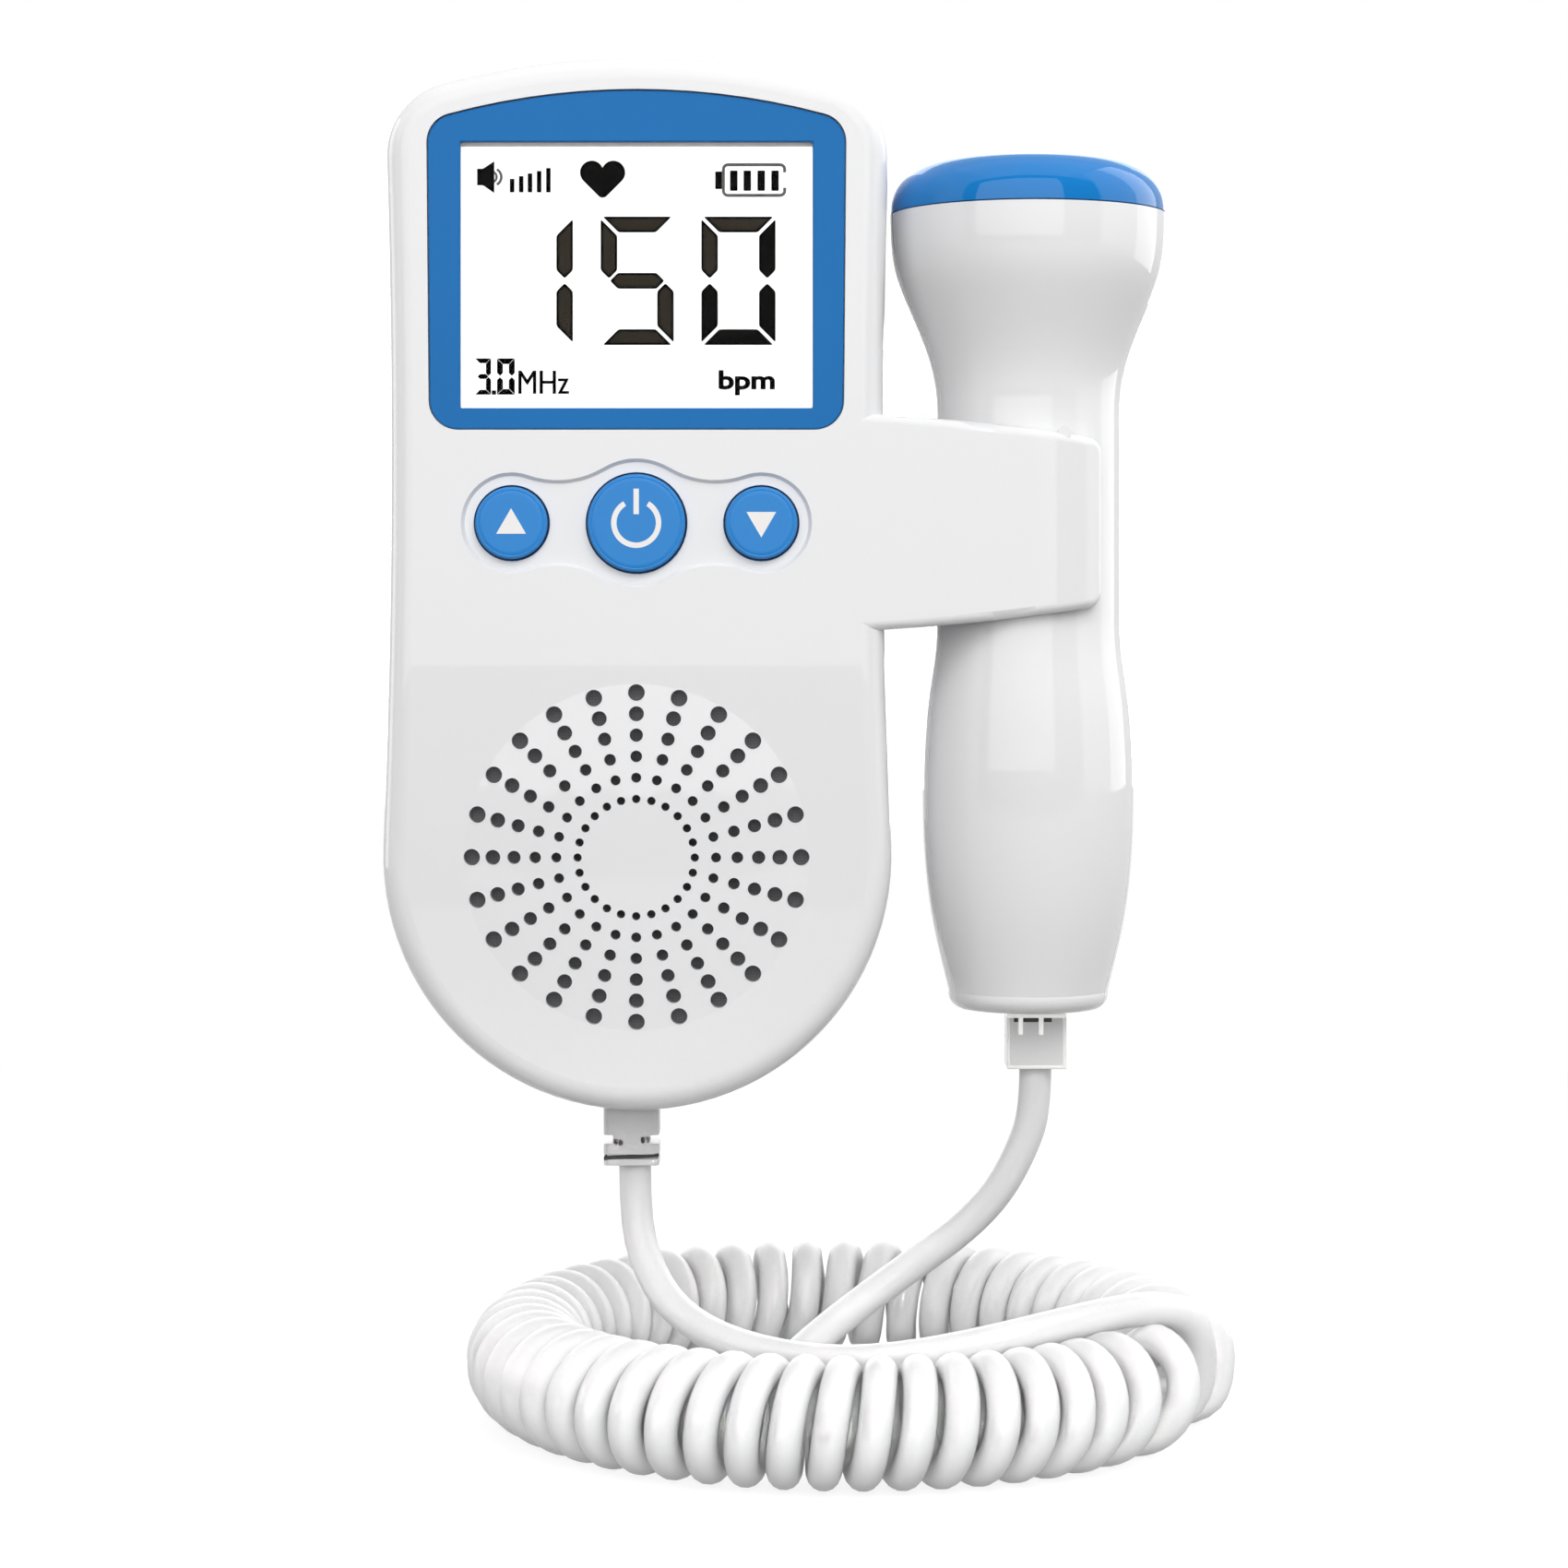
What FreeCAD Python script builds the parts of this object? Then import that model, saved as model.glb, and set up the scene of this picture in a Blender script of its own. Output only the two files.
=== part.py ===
"""Handheld fetal doppler: main unit, probe in its side holder and the curly lead between them.

Millimetres. +Z up, the front faces -Y, +X to the right as seen from the front.
The origin is the centre of the main unit's flat back face.
"""
import FreeCAD, Part
import math
import os
from FreeCAD import Vector

# ---- main unit, outline ----
unit_depth = 35.0
arch_radius = 100.0
corner_radius = 10.0
rim_above = 4.9
rim_side = 5.1
waist_below_display = 3.5
base_swell = 1.1
front_round = 3.3
back_round = 5.0
front_wall = 2.2
side_wall = 2.0
back_wall = 2.0
front_shell_depth = 15.0
seam_width = 0.4
seam_depth = 0.4

# ---- display ----
window_width = 47.0
window_height = 35.5
window_z = 41.05
bezel_side = 4.4
bezel_below = 2.8
bezel_above_centre = 6.9
bezel_arch_radius = 97.0
bezel_corner = 3.8
bezel_taper = 0.35
bezel_thickness = 1.1
bezel_sink = 0.3
bezel_gap = 0.12
lens_lap = 1.2
lens_thickness = 0.8
lcd_lap = 1.5
lcd_thickness = 2.2
backlight_thickness = 3.0

# ---- buttons ----
button_row_gap = 3.95
button_pitch = 16.65
power_radius = 6.5
arrow_radius = 4.8
button_gap = 0.3
button_stand = 0.6
button_edge = 0.45
flange_lip = 1.0
flange_thickness = 0.8
button_travel = 0.8
press_gap = 0.1
dish_depth = 0.6
dish_slope = 0.45
dish_margin_power = 1.65
dish_margin_arrow = 1.5
dish_saddle_radius = 12.0

# ---- speaker and grille ----
grille_spokes = 24
grille_rings = 6
grille_first_ring = 7.8
grille_ring_pitch = 2.83
hole_radius_first = 0.56
hole_radius_last = 1.12
grille_gap = 12.85
dome_radius = 23.1
dome_height = 0.9
cloth_thickness = 0.3
speaker_radius = 21.5
speaker_depth = 5.0
magnet_radius = 11.0
magnet_depth = 4.2
cone_thickness = 0.5
cone_sink = 0.5
cone_rim_gap = 0.2
cone_foot_radius = 6.0
cone_foot_gap = 1.8
dust_cap_height = 1.2
frame_rim_width = 1.6
frame_rim_depth = 1.6
frame_plate = 0.8
frame_foot_flare = 2.4
frame_hole_radius = 7.0

# ---- circuit board ----
board_half_width = 27.5
board_above_display = 3.2
board_below_buttons = 19.45
board_thickness = 1.6
board_corner = 5.0
switch_size = 6.0
plunger_radius = 1.7
plunger_height = 0.8
chip_thickness = 1.4
# Middle x, middle z, width and height of each chip on the back of the board.
chip_places = [(-8.0, 30.0, 12.0, 12.0), (10.0, 12.0, 9.0, 6.0), (12.0, 46.0, 7.0, 5.0)]

# ---- battery bay, cells and cover ----
cell_radius = 7.25
cell_length = 50.5
cell_gap = 0.35
cell_float = 0.2
nub_radius = 2.7
nub_height = 1.0
contact_thickness = 0.4
contact_size = 9.0
spring_height = 2.4
spring_wire = 0.4
spring_base_radius = 3.2
spring_rings = 3
spring_ring_rise = 0.68
spring_ring_step = 0.2
bay_wall = 1.2
bay_gap = 0.35
cover_thickness = 1.8
cover_sink = 0.3
moving_gap = 0.3
cover_corner = 4.0
hinge_pin_radius = 0.7
hinge_pin_length = 1.3
hinge_running_gap = 0.05
finger_notch_radius = 5.5
grip_count = 3
grip_width = 12.0
grip_height = 0.8
grip_pitch = 1.8
grip_depth = 0.4
grip_above_foot = 5.0

# ---- screws ----
screw_top_x = 18.0
screw_low_deg = -38.0
screw_radius = 1.25
screw_head_radius = 2.3
screw_head_height = 1.8
screw_sink = 2.0
boss_wall = 1.3
boss_gap = 0.15
screw_bite = 8.0
screw_gap = 0.05
cross_length = 3.2
cross_width = 0.7
cross_depth = 0.9

# ---- earphone jack ----
jack_below_buttons = 11.95
jack_bore_radius = 1.8
jack_bore_depth = 14.0
jack_barrel_radius = 2.7
jack_width = 6.2
jack_axis_lift = 2.2
jack_wall_gap = 0.5
jack_fit = 0.1

# ---- probe ----
neck_radius = 12.75
holder_gap = 0.3
arm_thickness = 1.95
head_gap = 1.2
probe_wall = 1.8
probe_split = 4.0
probe_bottom_z = -58.1
seam_z = 50.6
head_radius = 19.0
cap_top_z = 58.4
cap_edge_radius = 6.2
cap_inset = 0.1
crown_rise = 0.8
cap_roof = 2.8
cap_wall = 5.2
lens_radius = 11.5
lens_depth = 2.0
crystal_thickness = 1.4
crystal_gap = 1.2
crystal_margin = 1.0
crystal_fit = 0.1
backing_margin = 0.5
backing_flange = 1.8
backing_sink = 0.2
probe_board_thickness = 1.2
probe_board_side = 3.5
foot_round = 2.4
foot_radius = 10.9
calf_radius = 13.05
calf_z = -46.4
hip_radius = 14.45
hip_z = -31.0
waist_radius = 13.6
waist_bend_z = -14.0
shoulder_radius = 14.5
shoulder_z = 32.8
throat_radius = 17.1
throat_z = 39.3

# ---- holder ----
arm_raise = 0.15
arm_half_root = 14.6
arm_half_tip = 11.2
arm_wrap_deg = 37.0
arm_corner = 2.2
arm_edge = 1.2
neck_above = 15.4
neck_below = 13.3
finger_end_deg = 135.0
finger_half = 12.0
arm_bow = 0.41

# ---- plugs and lead ----
plug_width = 7.6
plug_depth = 6.4
plug_shift = -1.2
plug_drop = 8.7
plug_fit = 0.1
socket_wall = 1.6
socket_height = 7.5
socket_lift = 1.0
probe_socket_lift = 0.2
socket_roof_gap = 0.5
unit_plug_corner = 0.8
probe_plug_corner = 0.5
notch_above_end = 2.95
notch_depth = 1.3
notch_height = 1.2
groove_above_end = 0.9
groove_depth = 0.5
groove_height = 0.6
tab_slots_x = (-2.2, 0.6)
tab_slot_width = 0.6
tab_slot_depth = 1.2
tab_slot_start = 0.8
tab_slot_length = 2.6
probe_plug_width = 8.0
probe_plug_shift = 1.0
probe_plug_drop = 8.1
lead_diameter = 4.4
curl_diameter = 16.8
ring_radius = 44.4
ring_x = 28.7
floor_z = -114.1
ring_start_deg = -22.0
ring_turn_deg = 349.0

# Hand-laid routes of the two straight leads, from each plug to the curl.
unit_lead_points = [
    (-0.8, -20.0, -79.4), (-0.8, -20.0, -87.0), (0.8, -21.8, -93.0), (4.1, -25.7, -98.0),
    (9.8, -31.6, -101.0), (17.6, -38.2, -102.2), (26.6, -44.0, -102.2), (35.8, -47.8, -100.8),
    (45.2, -48.8, -98.8), (54.4, -46.8, -97.0), (62.8, -42.6, -95.8), (70.0, -37.4, -98.4),
]
probe_lead_points = [
    (54.2, -20.0, -66.2), (54.2, -20.0, -72.4), (52.2, -19.8, -78.0), (49.2, -19.2, -83.6),
    (44.6, -18.2, -88.6), (38.8, -17.2, -93.0), (32.4, -17.2, -97.6), (25.8, -19.4, -102.2),
    (20.6, -24.2, -105.8), (17.8, -30.8, -108.6), (18.1, -37.6, -110.5), (21.5, -43.7, -111.5),
    (27.3, -47.8, -111.8), (34.3, -48.9, -111.8), (41.0, -47.0, -111.8), (47.4, -43.0, -111.8),
    (53.8, -37.8, -111.8), (60.4, -32.6, -111.8), (66.8, -28.8, -111.8), (72.8, -27.0, -111.8),
]

# ---- places worked out from the sizes above ----
window_top_z = window_z + window_height / 2
window_foot_z = window_z - window_height / 2
bezel_foot_z = window_foot_z - bezel_below
arch_top_z = window_top_z + bezel_above_centre + rim_above
waist_half_width = window_width / 2 + bezel_side + rim_side
waist_z = bezel_foot_z - waist_below_display
base_radius = waist_half_width + base_swell
dish_middle_radius = power_radius + dish_margin_power + dish_slope
dish_outer_radius = arrow_radius + dish_margin_arrow + dish_slope
button_z = bezel_foot_z - button_row_gap - dish_middle_radius
base_z = button_z - dish_middle_radius - grille_gap - dome_radius
arm_z = button_z + arm_raise
jack_z = button_z - jack_below_buttons
probe_x = waist_half_width + head_gap + head_radius
front_y = -unit_depth
split_y = front_y + front_shell_depth
front_inner_y = front_y + front_wall
probe_y = front_y + arm_thickness + holder_gap + neck_radius
holder_bore = neck_radius + holder_gap
holder_outer = holder_bore + arm_thickness
probe_socket_foot_z = probe_bottom_z + probe_wall + probe_socket_lift
lens_foot_z = cap_top_z - lens_depth
curl_radius = curl_diameter / 2
lead_radius = lead_diameter / 2
recess_depth = bezel_sink + bezel_thickness
lens_front_y = front_y + recess_depth
lcd_front_y = lens_front_y + lens_thickness
backlight_front_y = lcd_front_y + lcd_thickness
board_front_y = backlight_front_y + backlight_thickness
board_back_y = board_front_y + board_thickness
jack_y = board_back_y + jack_axis_lift
board_top_z = window_top_z + board_above_display
board_bottom_z = button_z - board_below_buttons
flange_front_y = front_inner_y + moving_gap
flange_back_y = flange_front_y + flange_thickness
plunger_tip_y = flange_back_y + button_travel + press_gap
switch_front_y = plunger_tip_y + plunger_height
cover_back_y = -cover_sink
cover_front_y = cover_back_y - cover_thickness
cell_y = cover_front_y - cell_gap - cell_radius
cell_x = cell_radius + cell_gap / 2
bay_floor_y = cell_y - cell_radius - cell_gap
bay_half_width = cell_x + cell_radius + cell_gap
unit_bottom_z = base_z - base_radius
socket_foot_z = unit_bottom_z + side_wall + socket_lift
bay_length = cell_length + spring_height + 2 * contact_thickness + cell_gap
bay_bottom_z = socket_foot_z + socket_height + bay_gap + bay_wall
bay_top_z = bay_bottom_z + bay_length
hinge_y = cover_back_y - cover_thickness / 2
hinge_z = bay_top_z + cover_thickness / 2
boss_radius = screw_radius + boss_wall
rear_boss_radius = screw_head_radius + boss_wall
screw_top_z = window_top_z + lcd_lap + boss_gap + boss_radius
screw_low_reach = base_radius - side_wall - rear_boss_radius - moving_gap
X_AXIS = Vector(1, 0, 0)
Y_AXIS = Vector(0, 1, 0)
Z_AXIS = Vector(0, 0, 1)


# ---- small helpers ----
def box(x0, x1, y0, y1, z0, z1):
    return Part.makeBox(x1 - x0, y1 - y0, z1 - z0, Vector(x0, y0, z0))


def rod(radius, start, end):
    """A cylinder from one point to another."""
    along = Vector(*end) - Vector(*start)
    return Part.makeCylinder(radius, along.Length, Vector(*start), along)


def disc(radius, x, z, y0, y1):
    """A round piece whose axis runs front to back."""
    return rod(radius, (x, y0, z), (x, y1, z))


def arc_edge(centre, radius, start, end):
    """An arc in the XZ plane about centre (x, z), from one angle to another in radians."""
    ends = []
    for angle in (start, (start + end) / 2, end):
        ends.append(Vector(centre[0] + radius * math.cos(angle), 0, centre[1] + radius * math.sin(angle)))
    return Part.Arc(*ends).toShape()


def direction(start, end):
    """The angle of the line from one (x, z) point to another."""
    return math.atan2(end[1] - start[1], end[0] - start[0])


def slab(wire, y0, y1):
    """A flat outline in the XZ plane, made solid from y0 to y1."""
    face = Part.Face(wire)
    face.translate(Vector(0, y0, 0))
    return face.extrude(Vector(0, y1 - y0, 0))


def rounded_box(x0, x1, y0, y1, z0, z1, radius, axis):
    """A box whose four edges along one axis are rounded."""
    solid = box(x0, x1, y0, y1, z0, z1)
    edges = []
    for edge in solid.Edges:
        if abs(abs(edge.tangentAt(edge.FirstParameter).dot(axis)) - 1) < 1e-6:
            edges.append(edge)
    return solid.makeFillet(radius, edges)


def edges_at(solid, y):
    """The edges that lie wholly in the plane at y."""
    return [e for e in solid.Edges if abs(e.BoundBox.YMin - y) < 1e-4 and abs(e.BoundBox.YMax - y) < 1e-4]


def one(shape):
    """The single solid inside a boolean's result."""
    solids = shape.Solids
    if len(solids) != 1:
        raise ValueError("expected one solid, got %d" % len(solids))
    return solids[0]


def compound(shapes):
    return Part.makeCompound(list(shapes))


# ---- main unit, outline ----
def outline_centres():
    """Centres of the side, corner and top arcs on the right, and the side arc's radius."""
    rise = waist_z - base_z
    swing = (rise ** 2 + waist_half_width ** 2 - base_radius ** 2) / (2 * (base_radius - waist_half_width))
    side = (waist_half_width + swing, waist_z)
    top = (0.0, arch_top_z - arch_radius)
    reach_side = swing + corner_radius
    reach_top = arch_radius - corner_radius
    span = math.hypot(side[0] - top[0], side[1] - top[1])
    along = (reach_top ** 2 - reach_side ** 2 + span ** 2) / (2 * span)
    off = math.sqrt(reach_top ** 2 - along ** 2)
    lean = direction(top, side)
    corner = (
        top[0] + along * math.cos(lean) - off * math.sin(lean),
        top[1] + along * math.sin(lean) + off * math.cos(lean),
    )
    return side, corner, top, swing


def unit_outline(inset):
    """The unit's outline in the XZ plane, drawn in by inset: arched top, waisted sides, round base."""
    side, corner, top, swing = outline_centres()
    base = (0.0, base_z)
    to_corner = direction(top, corner)
    to_side = direction(base, side)
    side_high = direction(side, corner) % (2 * math.pi)
    side_low = direction(side, base) % (2 * math.pi)
    right = [
        arc_edge(top, arch_radius - inset, math.pi / 2, to_corner),
        arc_edge(corner, corner_radius - inset, to_corner, direction(corner, side)),
        arc_edge(side, swing + inset, side_high, side_low),
        arc_edge(base, base_radius - inset, to_side, -math.pi / 2),
    ]
    left = [edge.mirror(Vector(0, 0, 0), X_AXIS) for edge in right]
    return Part.Wire(Part.__sortEdges__(right + left))


def shell_block(y0, y1, rounded_y, radius):
    """One half of the unit's body before it is hollowed: its edge rounded, grooved along the parting line."""
    block = slab(unit_outline(0), y0, y1)
    block = block.makeFillet(radius, edges_at(block, rounded_y))
    half = seam_width / 2
    groove = slab(unit_outline(-1), split_y - half, split_y + half)
    groove = groove.cut(slab(unit_outline(seam_depth), split_y - seam_width, split_y + seam_width))
    return one(block.cut(groove))


# ---- display ----
def bezel_outline(grow):
    """The display frame's outline: straight sides and foot, arched head, rounded corners."""
    half = window_width / 2 + bezel_side + grow
    foot = bezel_foot_z - grow
    radius = bezel_arch_radius + grow
    head = window_top_z + bezel_above_centre - bezel_arch_radius
    shoulder = math.asin(half / radius)
    top = arc_edge((0, head), radius, math.pi / 2 + shoulder, math.pi / 2 - shoulder)
    right_top = top.Vertexes[1].Point
    left_top = top.Vertexes[0].Point
    if right_top.x < left_top.x:
        right_top, left_top = left_top, right_top
    low_right = Vector(half - bezel_taper, 0, foot)
    low_left = Vector(bezel_taper - half, 0, foot)
    edges = [
        top,
        Part.makeLine(right_top, low_right),
        Part.makeLine(low_right, low_left),
        Part.makeLine(low_left, left_top),
    ]
    return Part.Wire(Part.__sortEdges__(edges))


def bezel_block(grow, y0, y1):
    """The frame's outline made solid, its four corners rounded."""
    block = slab(bezel_outline(grow), y0, y1)
    corners = [e for e in block.Edges if abs(abs(e.tangentAt(e.FirstParameter).y) - 1) < 1e-6]
    return one(block.makeFillet(bezel_corner + grow, corners))


def window_block(grow, y0, y1):
    """A rectangle about the display window, larger by grow all round."""
    half_w = window_width / 2 + grow
    half_h = window_height / 2 + grow
    return box(-half_w, half_w, y0, y1, window_z - half_h, window_z + half_h)


def display_bezel():
    y0 = front_y + bezel_sink
    frame = bezel_block(0, y0, y0 + bezel_thickness)
    return one(frame.cut(window_block(0, y0 - 1, y0 + bezel_thickness + 1)))


def display_window():
    return window_block(lens_lap, lens_front_y, lens_front_y + lens_thickness)


def lcd_panel():
    return window_block(lcd_lap, lcd_front_y, lcd_front_y + lcd_thickness)


def lcd_backlight():
    return window_block(lcd_lap, backlight_front_y, backlight_front_y + backlight_thickness)


# ---- buttons ----
def button_sites():
    """Name, x and cap radius of each button."""
    return [
        ("up_button", -button_pitch, arrow_radius),
        ("power_button", 0.0, power_radius),
        ("down_button", button_pitch, arrow_radius),
    ]


def button_cap(x, radius):
    cap = disc(radius, x, button_z, front_y - button_stand, flange_front_y)
    cap = one(cap.makeFillet(button_edge, edges_at(cap, front_y - button_stand)))
    flange = disc(radius + flange_lip, x, button_z, flange_front_y, flange_back_y)
    return one(cap.fuse(flange).removeSplitter())


def flared_disc(radius, flare, x, z, y0, y1):
    """A disc that is as wide as radius at the front, at y0, and smaller by flare at the back."""
    return Part.makeCone(radius, radius - flare, y1 - y0, Vector(x, y0, z), Y_AXIS)


def button_dish():
    """The shallow tray round the three buttons: three discs and waisted bridges, with sloping walls."""
    floor_y = front_y + dish_depth
    tray = flared_disc(dish_middle_radius, dish_slope, 0, button_z, front_y, floor_y)
    for side in (-1, 1):
        x = side * button_pitch
        tray = tray.fuse(flared_disc(dish_outer_radius, dish_slope, x, button_z, front_y, floor_y))
        tray = tray.fuse(dish_bridge(side, floor_y))
    return one(tray.removeSplitter())


def dish_bridge(side, floor_y):
    """The waisted web between the centre disc and a side disc, tangent to both at every depth."""
    reach_middle = dish_middle_radius + dish_saddle_radius
    reach_outer = dish_outer_radius + dish_saddle_radius
    along = (reach_middle ** 2 - reach_outer ** 2 + button_pitch ** 2) / (2 * button_pitch)
    off = math.sqrt(reach_middle ** 2 - along ** 2)
    web = Part.makePolygon([
        Vector(0, 0, button_z),
        Vector(side * along, 0, button_z + off),
        Vector(side * button_pitch, 0, button_z),
        Vector(side * along, 0, button_z - off),
        Vector(0, 0, button_z),
    ])
    web = slab(web, front_y, floor_y)
    for up in (-1, 1):
        z = button_z + up * off
        web = web.cut(flared_disc(dish_saddle_radius, -dish_slope, side * along, z, front_y, floor_y))
    return web


# ---- grille ----
def grille_dome():
    """The low dome over the speaker, standing out of the front face."""
    sphere_radius = (dome_radius ** 2 + dome_height ** 2) / (2 * dome_height)
    ball = Part.makeSphere(sphere_radius, Vector(0, front_y - dome_height + sphere_radius, base_z))
    reach = disc(dome_radius, 0, base_z, front_y - 2 * dome_height, front_y + front_wall / 2)
    return ball.common(reach)


def grille_holes():
    """Rings of holes on straight spokes, growing outwards."""
    holes = []
    for ring in range(grille_rings):
        share = ring / (grille_rings - 1)
        hole_radius = hole_radius_first + share * (hole_radius_last - hole_radius_first)
        ring_r = grille_first_ring + ring * grille_ring_pitch
        for spoke in range(grille_spokes):
            angle = 2 * math.pi * spoke / grille_spokes
            x = ring_r * math.sin(angle)
            z = base_z + ring_r * math.cos(angle)
            holes.append(disc(hole_radius, x, z, front_y - dome_height - 1, front_inner_y + 1))
    return compound(holes)


# ---- holder ----
def arm_outline():
    """The front arm seen from the front: it tapers to a rounded tip."""
    root_x = waist_half_width - front_round
    tip_x = probe_x + holder_outer
    mid_x = (root_x + probe_x + holder_outer * math.sin(math.radians(arm_wrap_deg))) / 2
    end_x = 2 * mid_x - root_x
    ends = []
    for up in (1, -1):
        start = Vector(root_x, 0, arm_z + up * arm_half_root)
        middle = Vector(mid_x, 0, arm_z + up * ((arm_half_root + arm_half_tip) / 2 + arm_bow))
        end = Vector(end_x, 0, arm_z + up * arm_half_tip)
        ends.append((start, middle, end))
    top = Part.Arc(*ends[0]).toShape()
    low = Part.Arc(*ends[1]).toShape()
    tip = Part.makeLine(ends[0][2], ends[1][2])
    root = Part.makeLine(ends[0][0], ends[1][0])
    return Part.Wire(Part.__sortEdges__([top, tip, low, root])), end_x, tip_x


def holder_arm():
    """The arm that wraps the probe's neck: flat to the neck's axis, then curved round it."""
    wire, end_x, tip_x = arm_outline()
    plate = slab(wire, front_y - 1, probe_y)
    corners = [e for e in plate.Edges if e.BoundBox.ZLength < 1e-4 and abs(e.BoundBox.XMin - end_x) < 1e-4]
    plate = one(plate.makeFillet(arm_corner, corners))
    z0 = arm_z - arm_half_root - 1
    z1 = arm_z + arm_half_root + 1
    flat = box(0, probe_x, front_y, front_y + arm_thickness, z0, z1)
    sleeve = rod(holder_outer, (probe_x, probe_y, z0), (probe_x, probe_y, z1))
    sleeve = sleeve.cut(rod(holder_bore, (probe_x, probe_y, z0 - 1), (probe_x, probe_y, z1 + 1)))
    sleeve = sleeve.common(box(probe_x, tip_x + 1, front_y - 1, probe_y, z0, z1))
    band = flat.fuse(sleeve).removeSplitter()
    arm = one(plate.common(band))
    outer = [e for e in arm.Edges if on_outer_face(e)]
    return one(arm.makeFillet(arm_edge, outer))


def on_outer_face(edge):
    """Whether an edge of the arm bounds its outer face, away from the root."""
    span = edge.LastParameter - edge.FirstParameter
    points = [edge.valueAt(edge.FirstParameter + span * t) for t in (0, 0.5, 1)]
    if max(p.x for p in points) < waist_half_width - front_round + 0.01:
        return False
    if edge.BoundBox.ZLength > 2 * arm_half_tip - 3 * arm_corner and points[1].x < probe_x + 1:
        return False
    for p in points:
        if p.x <= probe_x + 1e-6:
            outside = abs(p.y - front_y) < 1e-3
        else:
            outside = abs(math.hypot(p.x - probe_x, p.y - probe_y) - holder_outer) < 1e-3
        if not outside:
            return False
    return True


def holder_finger():
    """The rear finger: it closes the holder behind the probe's neck on the unit's side."""
    angle = math.radians(finger_end_deg)
    end_x = probe_x + holder_outer * math.cos(angle)
    end_y = probe_y + holder_outer * math.sin(angle)
    root_x = waist_half_width - side_wall / 2
    finger = box(root_x, end_x, split_y, end_y, arm_z - finger_half, arm_z + finger_half)
    low_z = arm_z - finger_half - 1
    high_z = arm_z + finger_half + 1
    finger = finger.cut(rod(holder_bore, (probe_x, probe_y, low_z), (probe_x, probe_y, high_z)))
    return one(finger)


# ---- screws and bosses ----
def screw_sites():
    """Two screws above the display and two beside the speaker."""
    low = math.radians(screw_low_deg)
    low_x = screw_low_reach * math.cos(low)
    low_z = base_z + screw_low_reach * math.sin(low)
    return [(-screw_top_x, screw_top_z), (screw_top_x, screw_top_z), (-low_x, low_z), (low_x, low_z)]


def screw_tip_y():
    return split_y - screw_bite


def front_bosses():
    bosses = []
    for x, z in screw_sites():
        bosses.append(disc(boss_radius, x, z, front_inner_y, split_y))
    return bosses


def rear_bosses():
    bosses = []
    for x, z in screw_sites():
        bosses.append(disc(rear_boss_radius, x, z, split_y, -back_wall))
    return bosses


def front_screw_holes():
    holes = []
    for x, z in screw_sites():
        holes.append(disc(screw_radius + screw_gap, x, z, screw_tip_y() - screw_gap, split_y + 1))
    return compound(holes)


def rear_screw_holes():
    holes = []
    seat_y = -screw_sink - screw_head_height
    for x, z in screw_sites():
        holes.append(disc(screw_radius + screw_gap, x, z, split_y - 1, 1))
        holes.append(disc(screw_head_radius + screw_gap, x, z, seat_y, 1))
    return holes


def case_screws():
    seat_y = -screw_sink - screw_head_height
    cross_y = seat_y + screw_head_height - cross_depth
    long_half = cross_length / 2
    short_half = cross_width / 2
    screws = []
    for x, z in screw_sites():
        shank = disc(screw_radius, x, z, screw_tip_y(), seat_y)
        head = disc(screw_head_radius, x, z, seat_y, seat_y + screw_head_height)
        level = box(x - long_half, x + long_half, cross_y, 0, z - short_half, z + short_half)
        upright = box(x - short_half, x + short_half, cross_y, 0, z - long_half, z + long_half)
        screws.append(one(shank.fuse(head).removeSplitter().cut(level.fuse(upright))))
    return compound(screws)


# ---- shells ----
def lead_opening():
    """The hole at the foot of the unit that the lead's plug goes through."""
    half = plug_width / 2 + plug_fit
    y_half = plug_depth / 2 + plug_fit
    return box(plug_shift - half, plug_shift + half, probe_y - y_half, probe_y + y_half,
               unit_bottom_z - 2, unit_bottom_z + side_wall + 3)


def jack_opening():
    """The hole in the side wall that the jack's barrel goes through."""
    outside = (-base_radius - 1, jack_y, jack_z)
    inside = (-waist_half_width + 2 * side_wall, jack_y, jack_z)
    return rod(jack_barrel_radius + jack_fit, outside, inside)


def front_shell():
    shell = shell_block(front_y, split_y, front_y, front_round)
    hollow = slab(unit_outline(side_wall), front_inner_y, split_y + 1)
    shell = one(shell.cut(hollow))
    shell = shell.fuse([grille_dome(), holder_arm()] + front_bosses())
    cuts = [
        bezel_block(bezel_gap, front_y - 1, front_y + recess_depth),
        window_block(lens_lap + bezel_gap, front_y, front_inner_y + 1),
        button_dish(),
        lead_opening(),
        jack_opening(),
    ]
    for _, x, radius in button_sites():
        cuts.append(disc(radius + button_gap, x, button_z, front_y - 1, front_inner_y + 1))
    for cut in cuts:
        shell = shell.cut(cut)
    shell = shell.cut(front_screw_holes())
    shell = shell.cut(grille_holes())
    return one(shell.removeSplitter())


def bay_block(grow, y0, y1):
    """The battery bay's box, larger by grow all round."""
    half = bay_half_width + grow
    return box(-half, half, y0, y1, bay_bottom_z - grow, bay_top_z + grow)


def cover_opening():
    """The opening that the battery cover closes, with room for its hinge pins."""
    half = bay_half_width + bay_wall / 2 + moving_gap
    top = hinge_z + cover_thickness / 2 + moving_gap
    low = bay_bottom_z - bay_wall / 2 - moving_gap
    opening = rounded_box(-half, half, cover_front_y - moving_gap, 2, low, top, cover_corner, Y_AXIS)
    square_top = box(-half, half, cover_front_y - moving_gap, 2, top - cover_corner - 1, top)
    return opening.fuse(square_top)


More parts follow.
